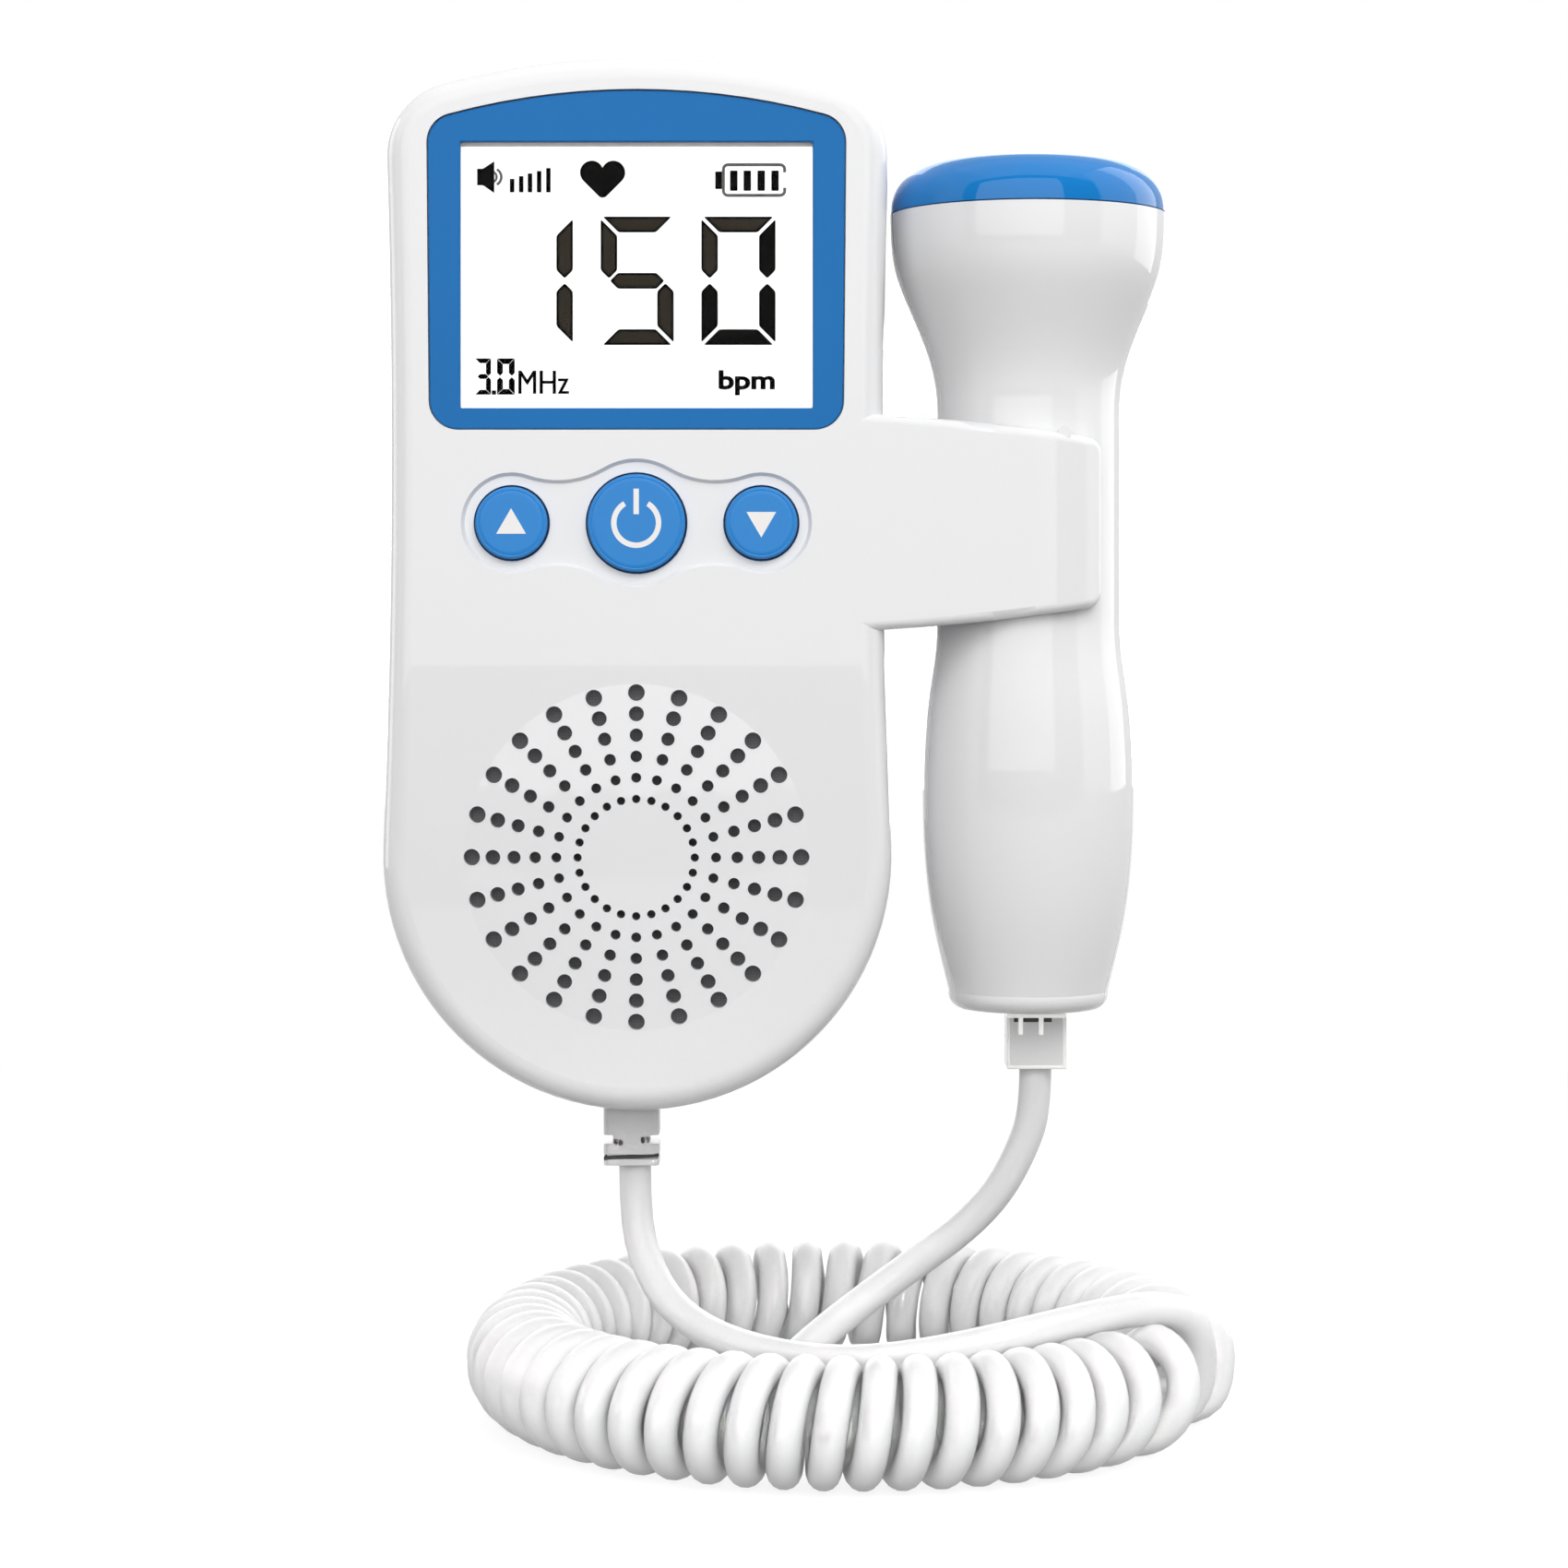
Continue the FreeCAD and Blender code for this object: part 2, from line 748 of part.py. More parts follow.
def rear_shell():
    shell = shell_block(split_y, 0, 0, back_round)
    hollow = slab(unit_outline(side_wall), split_y - 1, -back_wall)
    tight = back_round - side_wall
    hollow = one(hollow.makeFillet(tight, edges_at(hollow, -back_wall)))
    shell = one(shell.cut(hollow))
    ledge = bay_block(2 * bay_wall, cover_front_y - 2 * bay_wall, -back_wall / 2)
    bay = bay_block(bay_wall, bay_floor_y - bay_wall, -back_wall / 2)
    shell = shell.fuse([bay, ledge, holder_finger()] + rear_bosses())
    cuts = [
        bay_block(0, bay_floor_y, 2),
        cover_opening(),
        lead_opening(),
        disc(finger_notch_radius, 0, bay_bottom_z - bay_wall, -cover_thickness, 2),
    ]
    for cut in cuts + rear_screw_holes():
        shell = shell.cut(cut)
    reach = bay_half_width + bay_wall / 2 + hinge_pin_length + 2 * moving_gap
    pin_hole = hinge_pin_radius + hinge_running_gap
    sockets = rod(pin_hole, (-reach, hinge_y, hinge_z), (reach, hinge_y, hinge_z))
    return one(shell.cut(sockets).removeSplitter())


# ---- speaker ----
def grille_cloth():
    return disc(dome_radius, 0, base_z, front_inner_y, front_inner_y + cloth_thickness)


def revolve_y(points, y_axis_z):
    """A closed profile of (radius, y) points turned about a front-to-back axis at height y_axis_z."""
    wire = Part.makePolygon([Vector(r, y, y_axis_z) for r, y in points + points[:1]])
    return Part.Face(wire).revolve(Vector(0, 0, y_axis_z), Y_AXIS, 360)


def speaker_levels():
    """Front of the frame, back of the frame and back of the magnet."""
    front = front_inner_y + cloth_thickness
    return front, front + speaker_depth, front + speaker_depth + magnet_depth


def speaker_frame():
    front, back, _ = speaker_levels()
    rim = speaker_radius - frame_rim_width
    foot = magnet_radius + frame_foot_flare
    return revolve_y([
        (rim, front),
        (speaker_radius, front),
        (speaker_radius, front + frame_rim_depth),
        (foot, back),
        (frame_hole_radius, back),
        (frame_hole_radius, back - frame_plate),
        (foot - frame_plate, back - frame_plate),
        (rim, front + frame_rim_depth),
    ], base_z)


def speaker_cone():
    front, back, _ = speaker_levels()
    rim = speaker_radius - frame_rim_width - cone_rim_gap
    top = front + cone_sink
    deep = back - cone_foot_gap
    dome = deep - dust_cap_height
    return revolve_y([
        (rim, top),
        (rim, top + cone_thickness),
        (cone_foot_radius, deep + cone_thickness),
        (0, dome + cone_thickness),
        (0, dome),
        (cone_foot_radius, deep),
    ], base_z)


def speaker_magnet():
    _, back, end = speaker_levels()
    return disc(magnet_radius, 0, base_z, back, end)


# ---- circuit board ----
def main_board():
    board = rounded_box(-board_half_width, board_half_width, board_front_y, board_back_y,
                        board_bottom_z, board_top_z, board_corner, Y_AXIS)
    for x, z in screw_sites():
        clear = disc(boss_radius + moving_gap, x, z, board_front_y - 1, board_back_y + 1)
        board = board.cut(clear)
    return one(board)


def tact_switches():
    switches = []
    half = switch_size / 2
    for _, x, _ in button_sites():
        body = box(x - half, x + half, switch_front_y, board_front_y, button_z - half, button_z + half)
        plunger = disc(plunger_radius, x, button_z, plunger_tip_y, switch_front_y)
        switches.append(one(body.fuse(plunger)))
    return compound(switches)


def control_chips():
    """The packaged chips on the back of the board."""
    chips = []
    back_y = board_back_y + chip_thickness
    for x, z, width, height in chip_places:
        chips.append(box(x - width / 2, x + width / 2, board_back_y, back_y, z - height / 2, z + height / 2))
    return compound(chips)


def earphone_jack():
    """A jack body on the board with its barrel through the side wall."""
    mouth_x = -waist_half_width
    inner_x = mouth_x + side_wall + jack_wall_gap
    half = jack_width / 2
    back_x = inner_x + jack_bore_depth
    body = box(inner_x, back_x, board_back_y, jack_y + half, jack_z - half, jack_z + half)
    barrel = rod(jack_barrel_radius, (mouth_x, jack_y, jack_z), (inner_x, jack_y, jack_z))
    bore = rod(jack_bore_radius, (mouth_x - 1, jack_y, jack_z), (mouth_x + jack_bore_depth, jack_y, jack_z))
    return one(body.fuse(barrel).cut(bore).removeSplitter())


# ---- batteries ----
def battery_cells():
    """Two cells lying opposite ways, each with its positive nub."""
    low = bay_bottom_z + contact_thickness
    right_foot = low + spring_height
    right_top = right_foot + cell_length
    left_foot = low + cell_float
    left_top = left_foot + cell_length
    right = rod(cell_radius, (cell_x, cell_y, right_foot), (cell_x, cell_y, right_top - nub_height))
    right_nub = rod(nub_radius, (cell_x, cell_y, right_top - nub_height), (cell_x, cell_y, right_top))
    left = rod(cell_radius, (-cell_x, cell_y, left_foot + nub_height), (-cell_x, cell_y, left_top))
    left_nub = rod(nub_radius, (-cell_x, cell_y, left_foot), (-cell_x, cell_y, left_foot + nub_height))
    return compound([one(right.fuse(right_nub)), one(left.fuse(left_nub))])


def battery_contacts():
    """Four spring-steel plates, two at each end of the bay."""
    plates = []
    half = contact_size / 2
    for side in (-1, 1):
        for z0 in (bay_bottom_z, bay_top_z - contact_thickness):
            plates.append(box(side * cell_x - half, side * cell_x + half, cell_y - half, cell_y + half,
                              z0, z0 + contact_thickness))
    return compound(plates)


def battery_springs():
    """A short conical spring at each cell's flat end, as rings of wire that touch."""
    springs = []
    for side in (-1, 1):
        base = bay_bottom_z + contact_thickness if side > 0 else bay_top_z - contact_thickness
        rings = []
        for i in range(spring_rings):
            z = base + side * (spring_wire + i * spring_ring_rise)
            radius = spring_base_radius - i * spring_ring_step
            rings.append(Part.makeTorus(radius, spring_wire, Vector(side * cell_x, cell_y, z), Z_AXIS))
        springs.append(one(rings[0].fuse(rings[1:])))
    return compound(springs)


def battery_cover():
    """The cover, rounded along its top edge about the hinge pins."""
    half = bay_half_width + bay_wall / 2
    low = bay_bottom_z - bay_wall / 2
    high = hinge_z + cover_corner
    plate = rounded_box(-half, half, cover_front_y, cover_back_y, low, high, cover_corner, Y_AXIS)
    plate = plate.cut(box(-half - 1, half + 1, cover_front_y - 1, 2, hinge_z, hinge_z + 2 * cover_corner))
    knuckle = rod(cover_thickness / 2, (-half, hinge_y, hinge_z), (half, hinge_y, hinge_z))
    reach = half + moving_gap + hinge_pin_length
    pins = rod(hinge_pin_radius, (-reach, hinge_y, hinge_z), (reach, hinge_y, hinge_z))
    cover = plate.fuse([knuckle, pins]).removeSplitter()
    for grip in range(grip_count):
        z = low + grip_above_foot + grip * grip_pitch
        x = grip_width / 2
        cover = cover.cut(box(-x, x, cover_back_y - grip_depth, 1, z, z + grip_height))
    return one(cover)


# ---- probe ----
def probe_profile(inset):
    """The handle's profile from its foot up to the seam under the cap, as edges in the XZ plane."""
    foot = probe_bottom_z + inset
    ankle = Vector(foot_radius - inset, 0, probe_bottom_z + foot_round)
    calf = Vector(calf_radius - inset, 0, calf_z)
    hip = Vector(hip_radius - inset, 0, hip_z)
    waist = Vector(waist_radius - inset, 0, waist_bend_z)
    neck_low = Vector(neck_radius - inset, 0, arm_z - neck_below)
    neck_high = Vector(neck_radius - inset, 0, arm_z + neck_above)
    shoulder = Vector(shoulder_radius - inset, 0, shoulder_z)
    throat = Vector(throat_radius - inset, 0, throat_z)
    seam = Vector(head_radius - inset, 0, seam_z)
    low = Part.BSplineCurve()
    low.interpolate(Points=[ankle, calf, hip, waist, neck_low],
                    InitialTangent=Vector(0.24, 0, 1), FinalTangent=Z_AXIS)
    high = Part.BSplineCurve()
    high.interpolate(Points=[neck_high, shoulder, throat, seam], InitialTangent=Z_AXIS, FinalTangent=Z_AXIS)
    foot_mid = Vector(ankle.x - 0.65, 0, foot + (ankle.z - foot) * 0.22)
    foot_in = Vector(ankle.x - foot_round, 0, foot)
    foot_arc = Part.Arc(foot_in, foot_mid, ankle).toShape()
    edges = [
        Part.makeLine(Vector(0, 0, foot), foot_in),
        foot_arc,
        low.toShape(),
        Part.makeLine(neck_low, neck_high),
        high.toShape(),
        Part.makeLine(seam, Vector(0, 0, seam_z)),
        Part.makeLine(Vector(0, 0, seam_z), Vector(0, 0, foot)),
    ]
    return Part.Wire(Part.__sortEdges__(edges))


def probe_turned(wire):
    """A profile turned about the probe's axis."""
    solid = Part.Solid(Part.Face(wire).revolve(Vector(0, 0, 0), Z_AXIS, 360))
    solid.translate(Vector(probe_x, probe_y, 0))
    return solid


def probe_opening():
    """The hole in the probe's foot for its plug."""
    half = probe_plug_width / 2 + plug_fit
    x = probe_x + probe_plug_shift
    y_half = plug_depth / 2 + plug_fit
    top_z = probe_bottom_z + 2 * probe_wall
    return box(x - half, x + half, probe_y - y_half, probe_y + y_half, probe_bottom_z - 1, top_z)


def probe_seam(plane_y):
    """The groove along the handle's parting line."""
    half = seam_width / 2
    skin = probe_turned(probe_profile(0)).cut(probe_turned(probe_profile(seam_depth)))
    reach = 2 * head_radius
    return skin.common(box(probe_x - reach, probe_x + reach, plane_y - half, plane_y + half,
                           probe_bottom_z - 1, seam_z + 1))


def probe_half(front):
    """One half of the probe's handle, split on a plane in front of its axis."""
    plane_y = probe_y - probe_split
    reach = 2 * head_radius
    body = probe_turned(probe_profile(0)).cut(probe_turned(probe_profile(probe_wall)))
    body = body.cut(lens_column(head_radius - probe_wall, seam_z - 2 * probe_wall, seam_z + 1))
    body = body.cut(probe_opening()).cut(probe_seam(plane_y))
    y0 = plane_y - reach if front else plane_y
    keep = box(probe_x - reach, probe_x + reach, y0, y0 + reach, probe_bottom_z - 1, seam_z + 1)
    return one(body.common(keep))


def cap_profile():
    """The blue cap's outer profile: straight skirt, round shoulder, low crown."""
    skirt_radius = head_radius - cap_inset
    shoulder = Vector(skirt_radius - cap_edge_radius, 0, cap_top_z - crown_rise)
    skirt_top = Vector(skirt_radius, 0, shoulder.z - cap_edge_radius)
    halfway = cap_edge_radius * math.sqrt(0.5)
    middle = Vector(shoulder.x + halfway, 0, skirt_top.z + halfway)
    return shoulder, middle, skirt_top


def cap_solid():
    shoulder, middle, skirt_top = cap_profile()
    foot = Vector(skirt_top.x, 0, seam_z)
    crown = Vector(0, 0, cap_top_z)
    rise = cap_top_z - shoulder.z
    ball_radius = (shoulder.x ** 2 + rise ** 2) / (2 * rise)
    lean = math.asin(shoulder.x / ball_radius) / 2
    crown_mid = Vector(ball_radius * math.sin(lean), 0, cap_top_z - ball_radius * (1 - math.cos(lean)))
    edges = [
        Part.makeLine(Vector(0, 0, seam_z), foot),
        Part.makeLine(foot, skirt_top),
        Part.Arc(skirt_top, middle, shoulder).toShape(),
        Part.Arc(shoulder, crown_mid, crown).toShape(),
        Part.makeLine(crown, Vector(0, 0, seam_z)),
    ]
    return probe_turned(Part.Wire(Part.__sortEdges__(edges)))


def lens_column(radius, z0, z1):
    return rod(radius, (probe_x, probe_y, z0), (probe_x, probe_y, z1))


def probe_cap():
    cap = cap_solid()
    hollow = lens_column(head_radius - cap_wall, seam_z - 1, cap_top_z - cap_roof)
    return one(cap.cut(hollow).cut(lens_column(lens_radius, seam_z, cap_top_z + 1)))


def acoustic_window():
    return one(cap_solid().common(lens_column(lens_radius, lens_foot_z, cap_top_z + 1)))


def crystal_backing():
    """The block behind the crystals, on a flange that seats in the head."""
    top = lens_foot_z - crystal_thickness - 2 * crystal_fit
    foot = seam_z - backing_sink - backing_flange
    block = lens_column(lens_radius - backing_margin, foot, top)
    flange = lens_column(head_radius - probe_wall - crystal_fit, foot, seam_z - backing_sink)
    return one(block.fuse(flange).removeSplitter())


def transducer_crystals():
    """Two half-round crystals under the window, one to send and one to receive."""
    top = lens_foot_z - crystal_fit
    low = top - crystal_thickness
    whole = lens_column(lens_radius - crystal_margin, low, top)
    half_gap = crystal_gap / 2
    y0 = probe_y - lens_radius
    y1 = probe_y + lens_radius
    right = whole.common(box(probe_x + half_gap, probe_x + lens_radius, y0, y1, low, top))
    left = whole.common(box(probe_x - lens_radius, probe_x - half_gap, y0, y1, low, top))
    return compound([one(right), one(left)])


def probe_board():
    half = neck_radius - probe_wall - probe_board_side
    half_y = probe_board_thickness / 2
    low = probe_socket_foot_z + socket_height
    high = seam_z - backing_sink - backing_flange
    return box(probe_x - half, probe_x + half, probe_y - half_y, probe_y + half_y, low, high)


def socket_box(x, z0, z1, width):
    """A modular socket: a box with a mouth that takes a plug's tongue from below."""
    half = width / 2 + socket_wall
    y_half = plug_depth / 2 + socket_wall
    shell = box(x - half, x + half, probe_y - y_half, probe_y + y_half, z0, z1)
    mouth = box(x - width / 2 - plug_fit, x + width / 2 + plug_fit, probe_y - plug_depth / 2 - plug_fit,
                probe_y + plug_depth / 2 + plug_fit, z0 - 1, z1 - socket_wall)
    return one(shell.cut(mouth))


def unit_socket():
    return socket_box(plug_shift, socket_foot_z, socket_foot_z + socket_height, plug_width)


def probe_socket():
    x = probe_x + probe_plug_shift
    return socket_box(x, probe_socket_foot_z, probe_socket_foot_z + socket_height, probe_plug_width)


# ---- lead ----
def unit_plug():
    """The moulded plug on the unit's end of the lead, with its notched neck and end ring."""
    top = socket_foot_z + socket_height - socket_wall - socket_roof_gap
    end = unit_bottom_z - plug_drop
    half = plug_width / 2
    y0 = probe_y - plug_depth / 2
    y1 = probe_y + plug_depth / 2
    body = rounded_box(plug_shift - half, plug_shift + half, y0, y1, end, top, unit_plug_corner, Z_AXIS)
    notch_z = end + notch_above_end
    for side in (-1, 1):
        x = plug_shift + side * half
        body = body.cut(box(x - notch_depth, x + notch_depth, y0 - 1, y1 + 1, notch_z, notch_z + notch_height))
    groove_z = end + groove_above_end
    inside = half - groove_depth
    outside = half + 1
    groove_top = groove_z + groove_height
    groove = box(plug_shift - outside, plug_shift + outside, y0 - 1, y1 + 1, groove_z, groove_top)
    core = box(plug_shift - inside, plug_shift + inside, y0 + groove_depth, y1 - groove_depth, end, notch_z)
    return one(body.cut(groove.cut(core)).removeSplitter())


def probe_plug():
    """The modular plug on the probe's end, slotted at its mouth."""
    x = probe_x + probe_plug_shift
    top = probe_socket_foot_z + socket_height - socket_wall - socket_roof_gap
    end = probe_bottom_z - probe_plug_drop
    half = probe_plug_width / 2
    y0 = probe_y - plug_depth / 2
    body = rounded_box(x - half, x + half, y0, y0 + plug_depth, end, top, probe_plug_corner, Z_AXIS)
    slot_z = probe_bottom_z - tab_slot_start
    for middle in tab_slots_x:
        x0 = x + middle - tab_slot_width / 2
        x1 = x0 + tab_slot_width
        body = body.cut(box(x0, x1, y0 - 1, y0 + tab_slot_depth, slot_z - tab_slot_length, slot_z))
    return one(body.removeSplitter())


def lead_path(name, points):
    """Straight runs joined by tangent arcs, each as large as its two runs allow."""
    places = [Vector(*p) for p in points]
    edges = []
    radii = []
    at = places[0]
    for i in range(1, len(places) - 1):
        back = places[i - 1] - places[i]
        ahead = places[i + 1] - places[i]
        turn = math.pi - back.getAngle(ahead)
        reach = 0.45 * min(back.Length, ahead.Length)
        radius = reach / math.tan(turn / 2)
        radii.append(radius)
        enter = places[i] + back.normalize() * reach
        leave = places[i] + ahead.normalize() * reach
        inward = (back + ahead).normalize()
        middle = places[i] + inward * (radius / math.cos(turn / 2) - radius)
        edges.append(Part.LineSegment(at, enter).toShape())
        edges.append(Part.Arc(enter, middle, leave).toShape())
        at = leave
    edges.append(Part.LineSegment(at, places[-1]).toShape())
    wire = Part.Wire(edges)
    print(name, "radii", " ".join("%.1f" % r for r in radii), "length %.1f" % wire.Length)
    return wire


def lead_tube(name, points):
    """A lead's tube along its path, its volume checked against section times length."""
    path = lead_path(name, points)
    start = path.Edges[0]
    ring = Part.Wire(Part.makeCircle(lead_radius, Vector(*points[0]), start.tangentAt(start.FirstParameter)))
    tube = Part.Solid(path.makePipeShell([ring], True, True))
    expected = math.pi * lead_radius ** 2 * path.Length
    print(name, "volume ratio %.4f" % (tube.Volume / expected))
    return tube


def lead_curl():
    """The curled stretch as one fat tube: a nearly closed ring that lies on the surface below."""
    z = floor_z + curl_radius
    centre = Vector(ring_x, probe_y, z)
    angle = math.radians(ring_start_deg)
    start = centre + Vector(math.cos(angle), math.sin(angle), 0) * ring_radius
    along = Vector(-math.sin(angle), math.cos(angle), 0)
    face = Part.Face(Part.Wire(Part.makeCircle(curl_radius, start, along)))
    return face.revolve(centre, Z_AXIS, -ring_turn_deg)


def build():
    nodes = {
        "front_shell": front_shell(),
        "rear_shell": rear_shell(),
        "display_bezel": display_bezel(),
        "display_window": display_window(),
        "lcd_panel": lcd_panel(),
        "lcd_backlight": lcd_backlight(),
        "main_board": main_board(),
        "control_chips": control_chips(),
        "tact_switches": tact_switches(),
        "earphone_jack": earphone_jack(),
        "grille_cloth": grille_cloth(),
        "speaker_frame": speaker_frame(),
        "speaker_cone": speaker_cone(),
        "speaker_magnet": speaker_magnet(),
        "battery_cells": battery_cells(),
        "battery_contacts": battery_contacts(),
        "battery_springs": battery_springs(),
        "battery_cover": battery_cover(),
        "case_screws": case_screws(),
        "unit_socket": unit_socket(),
        "probe_front_shell": probe_half(True),
        "probe_rear_shell": probe_half(False),
        "probe_cap": probe_cap(),
        "acoustic_window": acoustic_window(),
        "crystal_backing": crystal_backing(),
        "transducer_crystals": transducer_crystals(),
        "probe_board": probe_board(),
        "probe_socket": probe_socket(),
        "unit_plug": unit_plug(),
        "unit_lead": lead_tube("unit_lead", unit_lead_points),
        "lead_curl": lead_curl(),
        "probe_lead": lead_tube("probe_lead", probe_lead_points),
        "probe_plug": probe_plug(),
    }
    for name, x, radius in button_sites():
        nodes[name] = button_cap(x, radius)
    return nodes


os.makedirs("parts", exist_ok=True)
for name, shape in sorted(build().items()):
    print("%-20s solids %d valid %s volume %.1f" % (name, len(shape.Solids), shape.isValid(), shape.Volume))
    shape.exportStep("parts/%s.step" % name)
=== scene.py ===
"""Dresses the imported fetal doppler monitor: case, display, buttons, probe, plugs and curly lead.

Metres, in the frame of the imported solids: +Z up, the display faces -Y, +X to the right of the display.
"""

import math

import bmesh
import bpy
from bpy.props import FloatProperty, FloatVectorProperty, IntProperty, PointerProperty
from mathutils import Matrix, Vector


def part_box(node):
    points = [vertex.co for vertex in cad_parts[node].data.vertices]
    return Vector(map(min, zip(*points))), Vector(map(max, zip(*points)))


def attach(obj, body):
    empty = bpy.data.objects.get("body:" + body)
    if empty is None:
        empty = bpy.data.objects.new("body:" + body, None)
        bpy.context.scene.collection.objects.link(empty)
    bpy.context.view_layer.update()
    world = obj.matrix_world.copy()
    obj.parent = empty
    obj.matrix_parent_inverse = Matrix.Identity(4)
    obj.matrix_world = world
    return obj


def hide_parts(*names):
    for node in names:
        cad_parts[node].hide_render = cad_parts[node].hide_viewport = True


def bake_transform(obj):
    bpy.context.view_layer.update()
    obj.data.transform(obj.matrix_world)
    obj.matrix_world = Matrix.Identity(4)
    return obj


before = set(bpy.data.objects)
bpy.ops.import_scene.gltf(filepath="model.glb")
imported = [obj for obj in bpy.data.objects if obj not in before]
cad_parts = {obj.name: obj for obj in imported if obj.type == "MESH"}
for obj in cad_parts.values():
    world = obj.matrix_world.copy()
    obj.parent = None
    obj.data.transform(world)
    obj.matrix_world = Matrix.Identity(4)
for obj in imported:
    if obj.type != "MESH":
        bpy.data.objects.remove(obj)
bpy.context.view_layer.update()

bl_info = {
    "name": "Fetal Doppler Monitor",
    "version": (1, 0, 0),
    "blender": (4, 5, 0),
    "location": "3D View > Sidebar > Doppler",
    "description": "Builds the looks of a handheld fetal doppler monitor round its solids",
    "category": "Object",
}

MM = 0.001
TAU = 2 * math.pi


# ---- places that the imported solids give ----
window_low, window_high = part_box("display_window")
panel_low, panel_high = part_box("lcd_panel")
cloth_low, cloth_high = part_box("grille_cloth")
FLOOR_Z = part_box("lead_curl")[0].z
SPEAKER_Z = (cloth_low.z + cloth_high.z) / 2
DISPLAY_Z = (panel_low.z + panel_high.z) / 2
SCREW_SEAT_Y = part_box("case_screws")[1].y
HANDLE_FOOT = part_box("probe_rear_shell")[0].z

# The middle of the ring that the curled lead lies in.
RING_CENTRE = Vector((0.0287, -0.020, 0.0))
# Turns a shape that is flat on the floor upright, so that it faces the front.
FACE_FRONT = Matrix.Rotation(math.radians(90), 4, "X")
# The two colours of a Mix node: it has several sockets called A and B, so these go by number.
MIX_A, MIX_B = 6, 7

# The lead's two routes, from each plug to the curl.
unit_lead_route = [
    (-0.0008, -0.0200, -0.0794), (-0.0008, -0.0200, -0.0870), (0.0008, -0.0218, -0.0930),
    (0.0041, -0.0257, -0.0980), (0.0098, -0.0316, -0.1010), (0.0176, -0.0382, -0.1022),
    (0.0266, -0.0440, -0.1022), (0.0358, -0.0478, -0.1008), (0.0452, -0.0488, -0.0988),
    (0.0544, -0.0468, -0.0970), (0.0628, -0.0428, -0.0958), (0.0700, -0.0390, -0.0957),
    (0.0742, -0.0362, -0.0982), (0.0756, -0.0336, -0.1036), (0.0746, -0.0328, -0.1094),
    (0.0704, -0.0340, -0.1119), (0.0654, -0.0354, -0.1096), (0.0634, -0.0372, -0.1040),
]
# Where the last turn comes down on the outside of the ring and runs into the straight end.
curl_end_route = [
    (0.0786, -0.0243, -0.1094), (0.0762, -0.0257, -0.1118), (0.0728, -0.0270, -0.1118),
]
probe_lead_route = [
    (0.0542, -0.0200, -0.0662), (0.0542, -0.0200, -0.0724), (0.0522, -0.0198, -0.0780),
    (0.0492, -0.0192, -0.0836), (0.0446, -0.0182, -0.0886), (0.0388, -0.0172, -0.0930),
    (0.0324, -0.0172, -0.0976), (0.0258, -0.0194, -0.1022), (0.0206, -0.0242, -0.1058),
    (0.0178, -0.0308, -0.1086), (0.0181, -0.0376, -0.1105), (0.0215, -0.0437, -0.1115),
    (0.0273, -0.0478, -0.1118), (0.0343, -0.0489, -0.1118), (0.0410, -0.0470, -0.1118),
    (0.0474, -0.0430, -0.1118), (0.0538, -0.0378, -0.1118), (0.0604, -0.0326, -0.1118),
    (0.0668, -0.0288, -0.1118), (0.0728, -0.0270, -0.1118),
]


# ---- colours and sizes a user may change ----
def linear(code):
    """An sRGB hex colour as linear RGBA."""
    channels = []
    for i in (0, 2, 4):
        value = int(code[i:i + 2], 16) / 255
        channels.append(value / 12.92 if value <= 0.04045 else ((value + 0.055) / 1.055) ** 2.4)
    return (*channels, 1.0)


def colour_property(label, use, code):
    return FloatVectorProperty(
        name=label, description=use, subtype="COLOR", size=4, min=0, max=1, default=linear(code))


def length_property(label, use, millimetres):
    return FloatProperty(
        name=label, description=use, subtype="DISTANCE", unit="LENGTH", default=millimetres * MM)


def count_property(label, use, number, least, most):
    return IntProperty(name=label, description=use, default=number, min=least, max=most)


class DopplerColours(bpy.types.PropertyGroup):
    """Colours of the finishes that can be seen from outside"""
    case: colour_property("Case", "White ABS of the case, the holder and the probe", "E6E6E7")
    bezel: colour_property("Bezel", "Blue of the frame round the display", "2170B3")
    button: colour_property("Buttons", "Blue of the three buttons", "2B84CE")
    cap: colour_property("Probe cap", "Blue of the cap on the probe's head", "1A79C2")
    print_white: colour_property("Button marks", "Print on the buttons", "ECEAE8")
    readout: colour_property("Readout", "Dark segments of the display", "050404")
    lead: colour_property("Lead", "Jacket of the lead", "D6D6D6")
    plug: colour_property("Plugs", "Moulded plugs of the lead", "D8D8D8")
    screw: colour_property("Screws", "Zinc-plated steel of the case screws", "B9B8B4")


